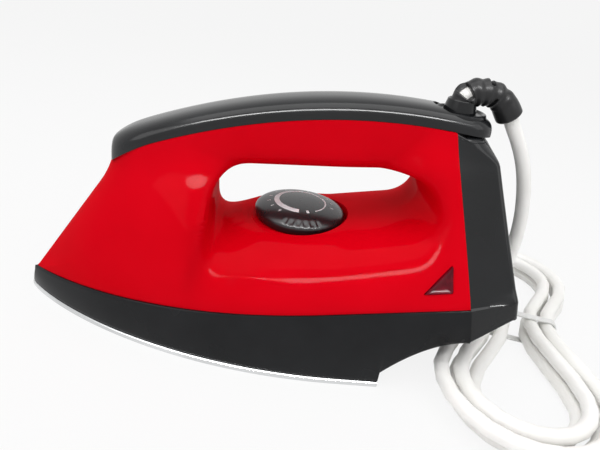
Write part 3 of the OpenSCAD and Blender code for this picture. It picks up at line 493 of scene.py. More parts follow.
def lower_edge(x):
    """The skirt's lower edge: along the soleplate, then a quick step and a long rise to the heel."""
    t = share((x - SOLE_END) / (REAR_FOOT_X - SOLE_END))
    return np.where(x < SOLE_END + FIT / 2, SKIRT_FOOT, mix(STEP_Z, REAR_FOOT_Z, 1 - (1 - t) ** 1.8))


def skirt_skin(depth, tip_back, lift):
    """Half of the skirt's skin as rows of points from its foot to its top, drawn in by a depth.

    Each row runs from the rear joint to the nose. The wall bows out by sin(180 s) between foot and top,
    and its two edges are eased by the lift.
    """
    rear = np.linspace(0, 1, 28)
    front = 1 - (1 - np.linspace(0, 1, 120)) ** 1.3
    foot_x = np.concatenate([mix(REAR_FOOT_X, SOLE_END + FIT, rear), mix(SOLE_END, NOSE_X + LIP, front)])
    top_x = np.concatenate([mix(split_x(SPLIT_FOOT_Z), SOLE_END + FIT, rear),
                            mix(SOLE_END, SEAM_NOSE - LEDGE, front)])
    rows = []
    for s in np.concatenate([[0, 0.015, 0.05], np.linspace(0.12, 0.88, 9), [0.95, 0.985, 1]]):
        z = mix(lower_edge(foot_x), seam_z(top_x), s)
        x = mix(foot_x, top_x, s)
        y = mix(skirt_half(foot_x, lower_edge(foot_x)),
                skirt_half(top_x, seam_z(top_x)), s)
        edge = lift * (1 - share(s / 0.05)) ** 2 + lift * (1 - share((1 - s) / 0.05)) ** 2
        slope = skirt_half(x - 0.5, z) - skirt_half(x + 0.5, z)
        size = np.hypot(slope, 1)
        d = np.where(np.arange(len(x)) == len(x) - 1, 0, depth + edge)
        y = y + 0.7 * np.sin(np.pi * s) - d / size
        x = x - np.where(np.arange(len(x)) == 0, 0, d * slope / size)
        x[-1] += 1.7 * tip_back
        y[-1] = 0
        rows.append(np.column_stack([x, -np.maximum(y, 0), z]))
    return np.array(rows)


def both_sides(rows):
    """Rows of points on the near side, mirrored about y = 0 to reach round to the far side."""
    far = rows[:, -2::-1] * np.array([1, -1, 1])
    return np.concatenate([rows, far], 1)


def walled(outer, inner, wrap_rows=False):
    """Closed wall between two grids: both skins, and strips along their open edges."""
    rows, cols = outer.shape[:2]
    skin = rows * cols
    faces = [grid_quads(rows, cols, wrap_rows), grid_quads(rows, cols, wrap_rows, start=skin)[:, ::-1]]
    i = np.arange(rows if wrap_rows else rows - 1)
    ahead = (i + 1) % rows
    for k in (0, cols - 1):
        a, b = i * cols + k, ahead * cols + k
        faces.append(np.stack([a, b, b + skin, a + skin], -1))
    if not wrap_rows:
        k = np.arange(cols - 1)
        for i in (0, rows - 1):
            a = i * cols + k
            faces.append(np.stack([a, a + 1, a + 1 + skin, a + skin], -1))
    return np.concatenate([outer.reshape(-1, 3), inner.reshape(-1, 3)]), np.concatenate(faces)


def rising_floor():
    """The plate behind the soleplate: it follows the skirt's lower edge, one wall thick."""
    x = np.linspace(SOLE_END + FIT, REAR_FOOT_X, 40)
    low = lower_edge(x)
    half = skirt_half(x, low) - WALL / 2
    y = np.linspace(-1, 1, 25)
    base = np.stack(np.broadcast_arrays(x[:, None], half[:, None] * y, low[:, None]), -1)
    return walled(base + [0, 0, WALL], base)


dark_skirt = surfaced(
    # Moulded phenolic: near black, half glossy, with a very fine moulded texture
    "moulded_phenolic", "#101113", "#18191b", 25, 0.24, 0.7, 0.006, **{"Specular IOR Level": 0.2})
skirt = piece("skirt_moulding", [
    walled(both_sides(skirt_skin(0, 0, 0.35)), both_sides(skirt_skin(WALL, WALL, 0))),
    rising_floor(),
], dark_skirt)
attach(skirt, "iron")
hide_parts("skirt")


# Body
# Glossy red moulded shell, with the finger opening through it: its deck is crowned, the grip above it
# is round, and every edge runs softly into the next. The dial sits on a round seat on the deck.
GRIP_HALF = 15.5
GRIP_SEAM = 110.5
DIAL_X = NOSE_X + 140.2
DIAL_R = 23.4
DECK_Z = 58.3
DECK_RISE = 0.195
COLUMN_X = NOSE_X + 46.2
DIP_X = NOSE_X + 67.5
OPENING = (NOSE_X + 95.3, HEEL_X - 45)
OPENING_MID = ((OPENING[0] + OPENING[1]) / 2, 77)
CORNER_LOW = 13
CORNER_HIGH = 19
EDGE_K = (9, 12)


def smax(a, b, k):
    """Larger of two values, blended by (k - |a - b|)^2 / 4 k where they are within k."""
    return np.maximum(a, b) + np.maximum(k - np.abs(a - b), 0) ** 2 / (4 * k)


def smin(a, b, k):
    """Smaller of two values, blended in the same way."""
    return -smax(-a, -b, k)


def arch_z(x):
    """Arch of the handle: a parabola along it."""
    return GRIP_SEAM + 0.205 * x - 0.001725 * x * x


def grip_z(x):
    """Joint of the handle cover: the arch, dipping at its front end."""
    return arch_z(x) - 0.0095 * np.maximum(DIP_X - x, 0) ** 2


def front_x(z):
    """Front edge in side view: a straight slope that rounds into the upright column."""
    return smin(SEAM_NOSE + 0.6535 * (z - SEAM_FRONT), COLUMN_X, 8)


def bell(x, z):
    """Half width of the body before the opening: a bell curve from the foot's width to the grip's.

    Its power grows from 1.12 to 2.2 beside the opening, where the flank is full.
    """
    t = share((z - seam_z(x)) / (grip_z(x) - seam_z(x)))
    foot = seam_half(x)
    top = smin(GRIP_HALF, 0.8 * foot, 6)
    flare_top = mix(mix(0.85, 0.62, ease((x + 45) / 50)), 1, ease((x - 45) / 40))
    power = mix(1.12, 2.2, ease((x + 75) / 60) * (1 - ease((x - 45) / 45)))
    flare = smax(0, 1 - (t / flare_top) ** power, 0.2)
    depth = mix(2, 18, ease(3 * t))
    b = share((x - front_x(z)) / depth)
    return (top + (foot - top) * flare) * np.sqrt(1 - (1 - b) ** 2)


def deck_height(x, y):
    """Top of the deck: it rises to the heel, and falls to both sides as the power 3.36 of the way out."""
    out = np.abs(y) / (40 * np.maximum(seam_half(x), 2) / 54)
    return DECK_Z + DECK_RISE * (x - DIAL_X) - 6.6 * out ** 3.36


def opening(x, y, z):
    """Below 0 inside the finger opening: between deck and grip, and between the two end walls."""
    under = GRIP_SEAM - 22.6 + 0.075 * x
    ends = np.maximum(OPENING[0] - x, x - OPENING[1] - 0.12 * np.abs(y))
    return smax(smax(deck_height(x, y) - z, ends, CORNER_LOW), z - under, CORNER_HIGH)


def seat_boss(x, y, z):
    """Below 0 inside the dial's boss: a flat round top that spreads downwards at 45 degrees."""
    spread = np.hypot(x - DIAL_X, y) - (SEAT_R + SEAT_RIM) - (SEAT_Z - z)
    return np.maximum(smax(z - SEAT_Z, 0.7 * spread, 3), SEAT_Z - 9 - z)


def body_field(x, y, z):
    """Below 0 inside the body: inside the bell and outside the opening, with the boss blended on."""
    edge = mix(EDGE_K[0], EDGE_K[1], ease((x - 30) / 40))
    hull = smax(np.abs(y) - bell(x, z), -opening(x, y, z), edge)
    return smin(hull, seat_boss(x, y, z), 9)


def first_crossing(value_at, low, high, steps=24):
    """Where a value on each ray passes 0, found by halving: value_at is below 0 before it."""
    for _ in range(steps):
        mid = (low + high) / 2
        inside = value_at(mid) < 0
        low, high = np.where(inside, mid, low), np.where(inside, high, mid)
    return (low + high) / 2


def joint_loop(n_top, n_front, n_foot, n_back):
    """Stations round the body's outer edge in side view: x, z, the ray's angle, and whether it is closed.

    They run along the handle's joint, down the front edge, along the skirt's joint, and up the rear joint.
    """
    column_z = grip_z(COLUMN_X - 1.3)
    split_top = grip_z(HEEL_X - 39)
    s = np.arange(n_top) / n_top
    top_x = mix(split_x(split_top), COLUMN_X - 1.3, s)
    top = [top_x, grip_z(top_x), mix(28, 152, s), 0 * s]
    s = np.arange(n_front) / n_front
    z = mix(column_z, seam_z(SEAM_NOSE), s)
    front = [front_x(z), z, mix(152, 214, s), 0 * s + 1]
    s = np.arange(n_foot) / n_foot
    foot_x = mix(SEAM_NOSE, split_x(SPLIT_FOOT_Z), s ** 1.25)
    foot = [foot_x, seam_z(foot_x), mix(214, 330, s), (s == 0) * 1.0]
    s = np.arange(n_back) / n_back
    z = mix(SPLIT_FOOT_Z, split_top, s)
    back = [split_x(z), z, mix(330, 388, s), 0 * s]
    return [np.concatenate(c) for c in zip(top, front, foot, back)]


def body_skins(n_side):
    """Outer and inner skin of the body as grids of points, from the opening out to the joints and back.

    Each station sends a fan of rays from a core line inside the wall; where the field passes 0 is the
    outer skin. The inner skin lies one wall in, along the field's slope.
    """
    x, z, angle, closed = joint_loop(76, 44, 110, 40)
    a = np.radians(angle)
    d = np.stack([np.cos(a) * 50, np.sin(a) * 15], -1)
    m = first_crossing(lambda m: opening(OPENING_MID[0] + d[:, 0] * m, 0, OPENING_MID[1] + d[:, 1] * m),
                       np.zeros(len(a)), np.full(len(a), 2.2))
    rim = np.array(OPENING_MID) + d * m[:, None]
    edge = np.stack([x, z], -1)
    reach = np.linalg.norm(edge - rim, axis=1)
    way = (edge - rim) / reach[:, None]
    core = rim + way * reach[:, None] * 0.55
    half = np.where(closed == 1, 0, bell(x, z))
    fan = np.linspace(0, 1, n_side + 1)[None, :]
    turn = mix(np.pi, np.arctan2(half, reach * 0.45)[:, None], fan)
    ray = np.stack([way[:, :1] * np.cos(turn), np.sin(turn), way[:, 1:] * np.cos(turn)], -1)
    start = np.stack([core[:, 0], 0 * x, core[:, 1]], -1)[:, None]
    far = np.minimum((reach * 0.55 + 10)[:, None] / np.maximum(-np.cos(turn), 0.12), reach[:, None] + 60)

    def value_at(m):
        p = start + ray * m[..., None]
        return body_field(p[..., 0], p[..., 1], p[..., 2])

    outer = start + ray * first_crossing(value_at, np.zeros_like(far), far)[..., None]
    outer[:, -1] = np.stack([x, half, z], -1)
    h = 0.2
    slope = np.stack([
        body_field(*np.moveaxis(outer + step, -1, 0)) - body_field(*np.moveaxis(outer - step, -1, 0))
        for step in np.eye(3) * h], -1)
    slope /= np.linalg.norm(slope, axis=-1, keepdims=True)
    inner = outer - WALL * slope
    inner[:, 0, 1] = 0
    open_end = closed == 0
    inner[open_end, -1] = outer[open_end, -1]
    inner[open_end, -1, 1] = np.maximum(outer[open_end, -1, 1] - 1.15 * WALL, 0)
    inner[~open_end, -1, 1] = 0
    tip = np.flatnonzero((closed == 1) & (z <= seam_z(SEAM_NOSE) + 1e-9))
    inner[tip, -1] = outer[tip, -1] + [1.6 * WALL, 0, 0]
    return outer, inner


def mirrored(half):
    """A grid of the far side made whole: the near side is its mirror image about y = 0."""
    return np.concatenate([half[:, :0:-1] * np.array([1, -1, 1]), half], 1)


def carve(target, tool, how):
    """Joins a closed tool to a piece, or cuts it out, and leaves a plain mesh with its material."""
    step = target.modifiers.new(how, "BOOLEAN")
    step.operation = how
    step.object = tool
    step.solver = "EXACT"
    ready = target.evaluated_get(bpy.context.evaluated_depsgraph_get())
    old = target.data
    target.data = bpy.data.meshes.new_from_object(ready)
    target.data.name = target.name
    target.modifiers.clear()
    bpy.data.meshes.remove(old)
    bpy.data.objects.remove(tool)


SEAT_Z = DECK_Z - 1.2
SEAT_R = DIAL_R + 1.8
SEAT_RIM = 5
LENS_X = HEEL_X - 39.5
LENS_Z = 53.6
LENS_Y = float(bell(LENS_X, LENS_Z))
LENS_TILT = math.atan(float(bell(LENS_X, LENS_Z - 2) - bell(LENS_X, LENS_Z + 2)) / 4)
LENS_CORNERS = np.array([(-7.9, -5.2), (5.3, -3.5), (4.0, 9.0)])


def at_lens(points):
    """Places points of the lens window's own frame, x along the iron and z out of the body's side."""
    p = np.asarray(points, float)
    turn = math.pi / 2 - LENS_TILT
    y = p[..., 1] * math.cos(turn) - p[..., 2] * math.sin(turn)
    z = p[..., 1] * math.sin(turn) + p[..., 2] * math.cos(turn)
    return np.stack([p[..., 0] + LENS_X, y - LENS_Y, z + LENS_Z], -1)


def lens_outline(grow, round_r=0.9, steps=6):
    """The three-cornered window: its corners grown from the middle and rounded by short arcs."""
    c = LENS_CORNERS * (1 + grow / 3.2)
    ring = []
    for i in range(3):
        here, before, after = c[i], c[i - 1], c[(i + 1) % 3]
        u = (before - here) / np.linalg.norm(before - here)
        w = (after - here) / np.linalg.norm(after - here)
        f = np.linspace(0, 1, steps)[:, None]
        ring.append(here + round_r * (u * (1 - f) ** 2 + w * f ** 2))
    return np.vstack(ring)


def prism(levels):
    """A slab in the lens window's frame: each level is a growth and a height."""
    rings = np.array([at_lens(np.column_stack([lens_outline(g), np.full(18, h)])) for g, h in levels])
    return lathe_closed(rings, rings[0].mean(0), rings[-1].mean(0))


def seat_block():
    """Floor and wall of the dial's seat: a disc with a wall that ends 1.2 mm under the deck."""
    q = np.linspace(0, 2 * np.pi, 96, endpoint=False)
    rings = []
    out = SEAT_R + 1.4
    room = SEAT_R - 0.5
    for r, rise in ((1, None), (out, None), (out, -1.2), (room + 0.1, -1.2), (room, 0.3), (1, 0.3)):
        x, y = DIAL_X + r * np.cos(q), r * np.sin(q)
        low = np.full(len(q), SEAT_Z - 3)
        z = low if rise is None else np.maximum(SEAT_Z + rise, deck_height(x, y) - 1.2)
        rings.append(np.stack([x, y, z], -1))
    return lathe_closed(np.array(rings), (DIAL_X, 0, SEAT_Z - 3), (DIAL_X, 0, SEAT_Z + 0.3))


glossy_red = surfaced(
    # Moulded ABS, self-coloured: a deep clean red with a high gloss and no grain to speak of
    "glossy_red_abs", "#c80010", "#d40216", 60, 0.13, 6.0, 0.008,
    **{"Specular IOR Level": 0.0, "Coat Weight": 0.05, "Coat Roughness": 0.03})
outer_skin, inner_skin = body_skins(44)
body = piece("body_moulding", [walled(mirrored(outer_skin), mirrored(inner_skin), True)], glossy_red)
carve(body, piece("seat_block", [seat_block()], glossy_red), "UNION")
carve(body, piece("seat_room", [turned([(SEAT_R, SEAT_Z), (SEAT_R, SEAT_Z + 20)], (DIAL_X, 0, 0), 96)],
                  glossy_red), "DIFFERENCE")
carve(body, piece("spindle_room", [turned([(3.7, SEAT_Z - 14), (3.7, SEAT_Z + 2)], (DIAL_X, 0, 0))],
                  glossy_red), "DIFFERENCE")
carve(body, piece("lens_room", [prism([(0.2, -8), (0.2, 6)])], glossy_red), "DIFFERENCE")
smooth(body, 32)
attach(body, "iron")
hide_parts("body_shell")


# Handle cover
# Glossy black moulded strip that caps the handle from its front column to the swivel. It is domed
# across, and its ends are narrower and lower, with rounded edges.
COVER_H = 8.8
COVER_FRONT = COLUMN_X - 0.6
COVER_REAR = HEEL_X - 19
SPLIT_TOP = float(grip_z(HEEL_X - 39))
CAP_Z = SPLIT_TOP - 1.6
SPLIT_TOP_X = split_x(SPLIT_TOP)
SWIVEL_X = HEEL_X - 34.5
COLLAR_R = 13
SEAT_TOP = float(arch_z(SWIVEL_X + COLLAR_R)) + COVER_H - 1.8


def back_x(z):
    """The flat rear face in side view, leaning forward, and more so over its shoulder."""
    return HEEL_X - math.tan(math.radians(14)) * (z - 40) - 0.33 * np.maximum(z - 105, 0)


def cover_foot(x):
    """Underside of the cover: on the body's joint, then down to the top of the rear cover."""
    rear = mix(SPLIT_TOP, CAP_Z, (x - SPLIT_TOP_X) / (back_x(CAP_Z) - SPLIT_TOP_X))
    return 0.2 + np.where(x < SPLIT_TOP_X, grip_z(x), rear)


def cover_skin(inset):
    """The cover as arches along it: half width and height by (cos, sin) ^ 0.72, less an inset.

    Towards both ends the arches shrink, and the last few close in round the ends' edges.
    """
    t = np.linspace(0, 1, 110)
    s = mix(COVER_FRONT, COVER_REAR, mix(t, ease(t), 0.8))
    x = mix(COVER_FRONT + inset, COVER_REAR - inset, (s - COVER_FRONT) / (COVER_REAR - COVER_FRONT))
    front = share(1 - (s - COVER_FRONT) / 16) ** 2
    rear = share(1 - (COVER_REAR - s) / 12) ** 2
    edge = 1.6
    close = edge * (1 - np.sqrt(1 - share(1 - (s - COVER_FRONT) / edge) ** 2))
    close = close + edge * (1 - np.sqrt(1 - share(1 - (COVER_REAR - s) / edge) ** 2))
    close = np.where(inset > 0, 0, close)
    half = GRIP_HALF * np.sqrt(1 - 0.8 * front - 0.7 * rear) - inset - close
    foot = cover_foot(x)
    high = (arch_z(x) + COVER_H - foot) * (1 - 0.2 * front ** 1.6 - 0.25 * rear ** 1.5) - inset - close
    a = np.pi * (1 - np.linspace(0, 1, 53))
    across = np.sign(np.cos(a)) * np.abs(np.cos(a)) ** 0.72
    up = np.maximum(np.sin(a), 0) ** 0.72
    return np.stack(np.broadcast_arrays(
        x[:, None], half[:, None] * across, foot[:, None] + high[:, None] * up), -1)


def capped_wall(outer, inner):
    """A wall of two arched grids whose first and last arches are closed across, inside and out."""
    points, faces = walled(outer, inner)
    rows, cols = outer.shape[:2]
    skin = rows * cols
    faces = faces[:2 * (rows - 1) * (cols - 1) + 2 * (rows - 1)]
    k = np.arange(cols // 2)
    cap = np.stack([k, k + 1, cols - 2 - k, cols - 1 - k], -1)
    last = (rows - 1) * cols
    ends = [cap, cap + last, cap + skin, cap + last + skin]
    rims = [[e, e + cols - 1, e + cols - 1 + skin, e + skin] for e in (0, last)]
    return points, [*faces.tolist(), *np.concatenate(ends).tolist(), *rims]


glossy_black = surfaced(
    # Moulded ABS in charcoal: high gloss, so the lamps draw long lines along its shoulders
    "glossy_charcoal_abs", "#151617", "#1d1e20", 40, 0.16, 5.0, 0.01,
    **{"Specular IOR Level": 0.3, "Coat Weight": 0.04, "Coat Roughness": 0.08})
cover = piece("handle_cover_moulding", [capped_wall(cover_skin(0), cover_skin(WALL))], glossy_black)
carve(cover, piece("collar_room", [turned([(COLLAR_R + 0.2, SEAT_TOP), (COLLAR_R + 0.2, SEAT_TOP + 20)],
                                          (SWIVEL_X, 0, 0), 72)], glossy_black), "DIFFERENCE")
carve(cover, piece("sleeve_room", [turned([(11.25, 90), (11.25, 150)], (SWIVEL_X, 0, 0), 72)],
                   glossy_black), "DIFFERENCE")
smooth(cover, 32)
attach(cover, "iron")
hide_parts("handle_cover")


# Rear cover
# Charcoal moulded cup behind the leaning joint, over the terminals. Its sides run on from the skirt
# and the body, its rear face is nearly flat, and one screw in a recess holds it to the bracket.
BACK_HALF = SEAM_HALF - 1
BAND_Z = 50
CORNER_R = 2.5
REAR_CROWN = 0.6
BACK_SCREW_Z = 55
BOSS_END = back_x(BACK_SCREW_Z) - WALL


def cup_skin(inset):
    """The cup as rows from its sloping foot to its top, each from the near joint round the rear face.

    A row has a straight side, a quarter round corner and the crowned rear face. The foot's and the
    top's edges are rounded by drawing the first and last rows in.
    """
    band = np.linspace(0, 1, 9)
    back = np.linspace(0, 1, 46)
    front_z = np.concatenate([
    mix(REAR_FOOT_Z, SPLIT_FOOT_Z, band), mix(SPLIT_FOOT_Z + 0.5, SPLIT_TOP, back)])
    rear_z = np.concatenate([mix(40, BAND_Z, band), mix(BAND_Z + 0.5, CAP_Z, back)])
    out = np.concatenate([np.ones(9), 1 - ease(np.arange(46) / 3)])
    edge = 1.3
    rows = []
    for i in [-3, -2, -1, *range(len(out)), -4, -5, -6]:
        j = 0 if -4 < i < 0 else len(out) - 1 if i < 0 else i
        turn = {-3: 0, -2: 30, -1: 60, -4: 60, -5: 30, -6: 0}.get(i, 90)
        draw = edge * (1 - math.sin(math.radians(turn))) if inset == 0 else 0
        zf = np.clip(front_z[j], REAR_FOOT_Z + inset, SPLIT_TOP - inset)
        zb = np.clip(rear_z[j], 40 + inset, CAP_Z - inset)
        lift = edge * (1 - math.cos(math.radians(turn))) if inset == 0 else 0
        if i in (-3, -2, -1):
            zf, zb = zf + lift, zb + lift
        elif i < 0:
            zf, zb = zf - lift, zb - lift
        elif inset == 0:
            zf = np.clip(zf, REAR_FOOT_Z + edge, SPLIT_TOP - edge)
            zb = np.clip(zb, 40 + edge, CAP_Z - edge)
        level = front_z[j]
        side = skirt_half(split_x(zf), level) if level <= SPLIT_FOOT_Z else bell(split_x(zf), level)
        side = float(side) - 1.15 * inset - draw
        wide = 19 + (BACK_HALF - 19) * share((CAP_Z - rear_z[j]) / (CAP_Z - BAND_Z)) ** 1.05
        half = float(wide) + out[j] * LEDGE - inset - draw
        rear = back_x(zb) - inset - draw
        corner = rear - REAR_CROWN
        r = CORNER_R + 9 * ease((rear_z[j] - 104) / 10) - 0.4 * inset
        f = np.linspace(0, 1, 14)[:-1, None]
        along = mix(np.array([split_x(zf), side, zf]), np.array([corner - r, half, zb]), f)
        q = np.radians(np.linspace(0, 90, 11))
        bend = np.column_stack([corner - r * (1 - np.sin(q)), half - r * (1 - np.cos(q)), np.full(11, zb)])
        w = np.linspace(1, 0, 12)[1:]
        face = np.column_stack([rear - REAR_CROWN * w ** 2, (half - r) * w, np.full(11, zb)])
        row = np.vstack([along, bend, face])
        row[:, 1] *= -1
        rows.append(row)
    return both_sides(np.array(rows))


cup = piece("rear_cover_moulding", [capped_wall(cup_skin(0), cup_skin(WALL))], glossy_black)
boss = piece("boss", [turned([(6.5, HEEL_X - 28.2), (6.5, BOSS_END + 0.3)], (0, 0, BACK_SCREW_Z), 48, "x")],
             glossy_black)
carve(cup, boss, "UNION")
for radius, start in ((2.2, 92.5), (4.5, BOSS_END - 2)):
    hole = piece("hole", [turned([(radius, start), (radius, start + 60)], (0, 0, BACK_SCREW_Z), 40, "x")],
                 glossy_black)
    carve(cup, hole, "DIFFERENCE")
carve(cup, piece("sleeve_room", [turned([(11.45, 90), (11.45, 150)], (SWIVEL_X, 0, 0), 72)],
                 glossy_black), "DIFFERENCE")
smooth(cup, 32)
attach(cup, "iron")
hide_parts("rear_cover")


# Rear cover screw
# Zinc-plated pan head screw with a cross recess, at the bottom of the cover's round hole.
head = BOSS_END - 2
cover_screw = piece("cross_head_screw", [turned([
    (2, 93.4), (2, head), (4.2, head), (4.2, head + 1.4), (3.7, head + 2.1), (2.4, head + 2.5),
    (0.6, head + 2.6)], (0, 0, BACK_SCREW_Z), 40, "x")], pressed_steel)
SLOT_CORNERS = [(i, j, k) for i in (0, 1) for j in (0, 1) for k in (0, 1)]
BOX_FACES = [(0, 1, 3, 2), (4, 5, 7, 6), (0, 1, 5, 4), (2, 3, 7, 6), (0, 2, 6, 4), (1, 3, 7, 5)]
for wide, tall in ((1, 4.6), (4.6, 1)):
    corners = [(head + 1.2 + 3 * i, wide * (j - 0.5), BACK_SCREW_Z + tall * (k - 0.5))
               for i, j, k in SLOT_CORNERS]
    carve(cover_screw, piece("slot", [(corners, BOX_FACES)], pressed_steel), "DIFFERENCE")
smooth(cover_screw, 32)
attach(cover_screw, "iron")
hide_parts("rear_cover_screw")


# Dial
# Black moulded knob, low and domed, turned with a finger at its ribbed front hollow. A pale printed
# wedge runs round its middle from thin to broad, with heat numbers outside it.
DIAL_H = 9.8
RIM_H = 3.5
RIM_Z = SEAT_Z + FIT


def dial_top(r):
    """Height of the dial over its rim: a dome that flattens in the middle and rolls off at the edge."""
    return RIM_H + (DIAL_H - RIM_H) * np.maximum(1 - (r / DIAL_R) ** 2, 0) ** 0.42


def grip_relief(r, q):
    """The finger hollow at the front: a shallow dip near the rim, with five ribs standing in it."""
    off = (q + np.pi / 2 + np.pi) % (2 * np.pi) - np.pi
    window = ease((0.46 - np.abs(off)) / 0.1)
    dip = 0.75 * np.exp(-((r - 21.5) / 1.6) ** 2)
    ribs = 0.6 * np.exp(-((r - 21.5) / 1.3) ** 2) * np.maximum(np.cos(off * 38), 0) ** 0.6
    return window * (ribs * ease((0.38 - np.abs(off)) / 0.05) - dip)


def dial_form():
    """The dial in rings: from its hollow underside out round the rim, and over the dome to its middle."""
    q = np.linspace(0, 2 * np.pi, 240, endpoint=False)
    under = [(1, 1.8), (18.4, 1.8), (20.4, 0.5), (21.1, 0), (22.1, 0), (22.4, 0.2), (22.7, 0.8), (23.2, 2.4)]
    r = np.concatenate([[p[0] for p in under], DIAL_R * np.sin(np.linspace(np.pi / 2, 0.02, 56))])
    z = np.concatenate([[p[1] for p in under], dial_top(r[len(under):])])
    z = np.broadcast_to(z[:, None], (len(r), len(q))).copy()
    z[len(under):] += grip_relief(r[len(under):, None], q[None, :])
    rings = np.stack([DIAL_X + r[:, None] * np.cos(q), r[:, None] * np.sin(q), RIM_Z + z], -1)
    return lathe_closed(rings, (DIAL_X, 0, RIM_Z + 1.8), (DIAL_X, 0, RIM_Z + DIAL_H))


satin_black = surfaced(
    # Moulded ABS with a fine satin: black with a faint plum cast, softer gloss than the covers
    "satin_black_abs", "#121114", "#1b1a1d", 18, 0.27, 0.6, 0.01, **{"Specular IOR Level": 0.6})
printed_ink = surfaced(
    # Pad-printed silver-white ink, matt and very slightly uneven
    "printed_pale_ink", "#d5d8dc", "#e6e8ea", 2, 0.5, 0.5, 0.01)
dial = piece("dial_knob", [
    dial_form(),
    turned([(5.5, RIM_Z), (5.5, RIM_Z + 2)], (DIAL_X, 0, 0)),
    turned([(1.2, SEAT_Z - 1), (1.2, RIM_Z + 1.8)], (DIAL_X, 0.74 * DIAL_R, 0), 20),
], satin_black, 50)
INK = 0.035


def on_dial(r, q, lift=INK):
    """Points on the dial's dome at a radius and angle, lifted by the ink's thickness."""
    r, q = np.broadcast_arrays(r, q)
    return np.stack([DIAL_X + r * np.cos(q), r * np.sin(q), RIM_Z + dial_top(r) + lift], -1)


def ink_patch(r, q):
    """A printed patch of the dome: its top face, a face just inside the plastic, and its edges."""
    return walled(on_dial(r, q), on_dial(r, q, -INK))


def heat_wedge():
    """The printed wedge: a band at 12.8 mm that thins from 3 to 0.6 mm as the heat falls."""
    q = np.radians(np.linspace(-97, -418, 200))[:, None]
    w = mix(1.5, 0.3, ease(np.linspace(0, 1, 200)))[:, None]
    across = np.linspace(-1, 1, 5)[None, :]
    flip = np.linspace(0, 1, 200)[:, None]
    r = mix(12.6, 12.9, flip) + w * across
    return ink_patch(r, q)


def heat_number(digit, angle, radius, height):
    """One printed numeral, set upright to the dial's middle and wrapped on the dome."""
    text = bpy.data.curves.new("numeral", "FONT")
    text.body = digit
    text.size = height
    text.align_x = "CENTER"
    text.align_y = "CENTER"
    holder = bpy.data.objects.new("numeral", text)
    bpy.context.scene.collection.objects.link(holder)
    flat = bpy.data.meshes.new_from_object(holder.evaluated_get(bpy.context.evaluated_depsgraph_get()))
    bpy.data.objects.remove(holder)
    fine = bmesh.new()
    fine.from_mesh(flat)
    bmesh.ops.triangulate(fine, faces=fine.faces)
    points = np.array([v.co[:2] for v in fine.verts])
    faces = [[v.index for v in f.verts] for f in fine.faces]
    rims = [(e.verts[0].index, e.verts[1].index) for e in fine.edges if len(e.link_faces) == 1]
    fine.free()
    bpy.data.meshes.remove(flat)
    a = math.radians(angle)
    out, along = np.array([math.cos(a), math.sin(a)]), np.array([math.sin(a), -math.cos(a)])
    place = out * radius + points[:, 1:] * out + points[:, :1] * along
    r, q = np.hypot(*place.T), np.arctan2(place[:, 1], place[:, 0])
    both = np.vstack([on_dial(r, q), on_dial(r, q, -INK)])
    n = len(points)
    walls = [(i, j, j + n, i + n) for i, j in rims]
    return both, faces, walls


def numeral_part(digit, angle, radius, height):
    """The numeral as one closed part: its faces, their copy inside the plastic, and its rim."""
    both, faces, walls = heat_number(digit, angle, radius, height)
    n = len(both) // 2
    quads = [[*f, f[-1]] for f in faces] + [[*(i + n for i in f[::-1]), f[0] + n] for f in faces]
    return both, [*quads, *walls]


marks = [heat_wedge()]
for i in range(6):
    turn = -132 - 44 * i
    tick = np.radians(turn - 22 + np.linspace(-0.9, 0.9, 3))[None, :]
    marks.append(numeral_part(str(6 - i), turn, 16.6, 2.8))
    marks.append(ink_patch(np.linspace(15.7, 17.3, 3)[:, None], tick))
marks.append(ink_patch(np.linspace(11.6, 14.0, 5)[:, None],
                       np.radians(-77 + np.linspace(-3, 3, 5))[None, :]))
print_work = piece("dial_print", marks, printed_ink)
for knob_part in (dial, print_work):
    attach(knob_part, "dial")
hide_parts("dial")


# Thermostat
# Steel arm and spindle, ceramic rings, phosphor bronze blades and a bimetal strip in a riveted stack.
# They are the CAD pieces themselves, in the finish of each.
spring_bronze = surfaced(
    # Rolled phosphor bronze, bright along the rolling
    "rolled_bronze", "#a9683c", "#c98b58", 5, 0.3, 0.8, 0.01, (0.2, 1, 1), Metallic=1.0)
bimetal = surfaced(
    # Rolled bimetal, greyish gold
    "rolled_bimetal", "#8d8669", "#aba382", 5, 0.35, 0.8, 0.01, (0.2, 1, 1), Metallic=1.0)
ceramic = surfaced(
    # Fired steatite: off-white, matt, with tiny specks
    "fired_steatite", "#d9d3c4", "#ece8dd", 3, 0.6, 0.6, 0.02)
finish("dial_spindle", pressed_steel)
finish("thermostat_base", pressed_steel)
finish("thermostat_rivet", pressed_steel)
finish("thermostat_insulators", ceramic)
finish("fixed_contact_blade", spring_bronze)
finish("moving_contact_blade", spring_bronze)
finish("bimetal_strip", bimetal)


# Pilot light
# Three-cornered window of clear dark red plastic, cut in facets inside, with a small neon lamp in a
# ceramic cup behind it.
def faceted_lens():
    """The window: a rounded rim, and a face that sinks to a point off its middle in three facets."""
    rings = np.array([at_lens(np.column_stack([lens_outline(g), np.full(18, h)]))
                      for g, h in ((0, -3.1), (0, 0.1), (-0.15, 0.35), (-0.5, 0.4), (-0.8, 0.2))])
    return lathe_closed(rings, rings[0].mean(0), at_lens([1.2, 0.2, -1.1]))


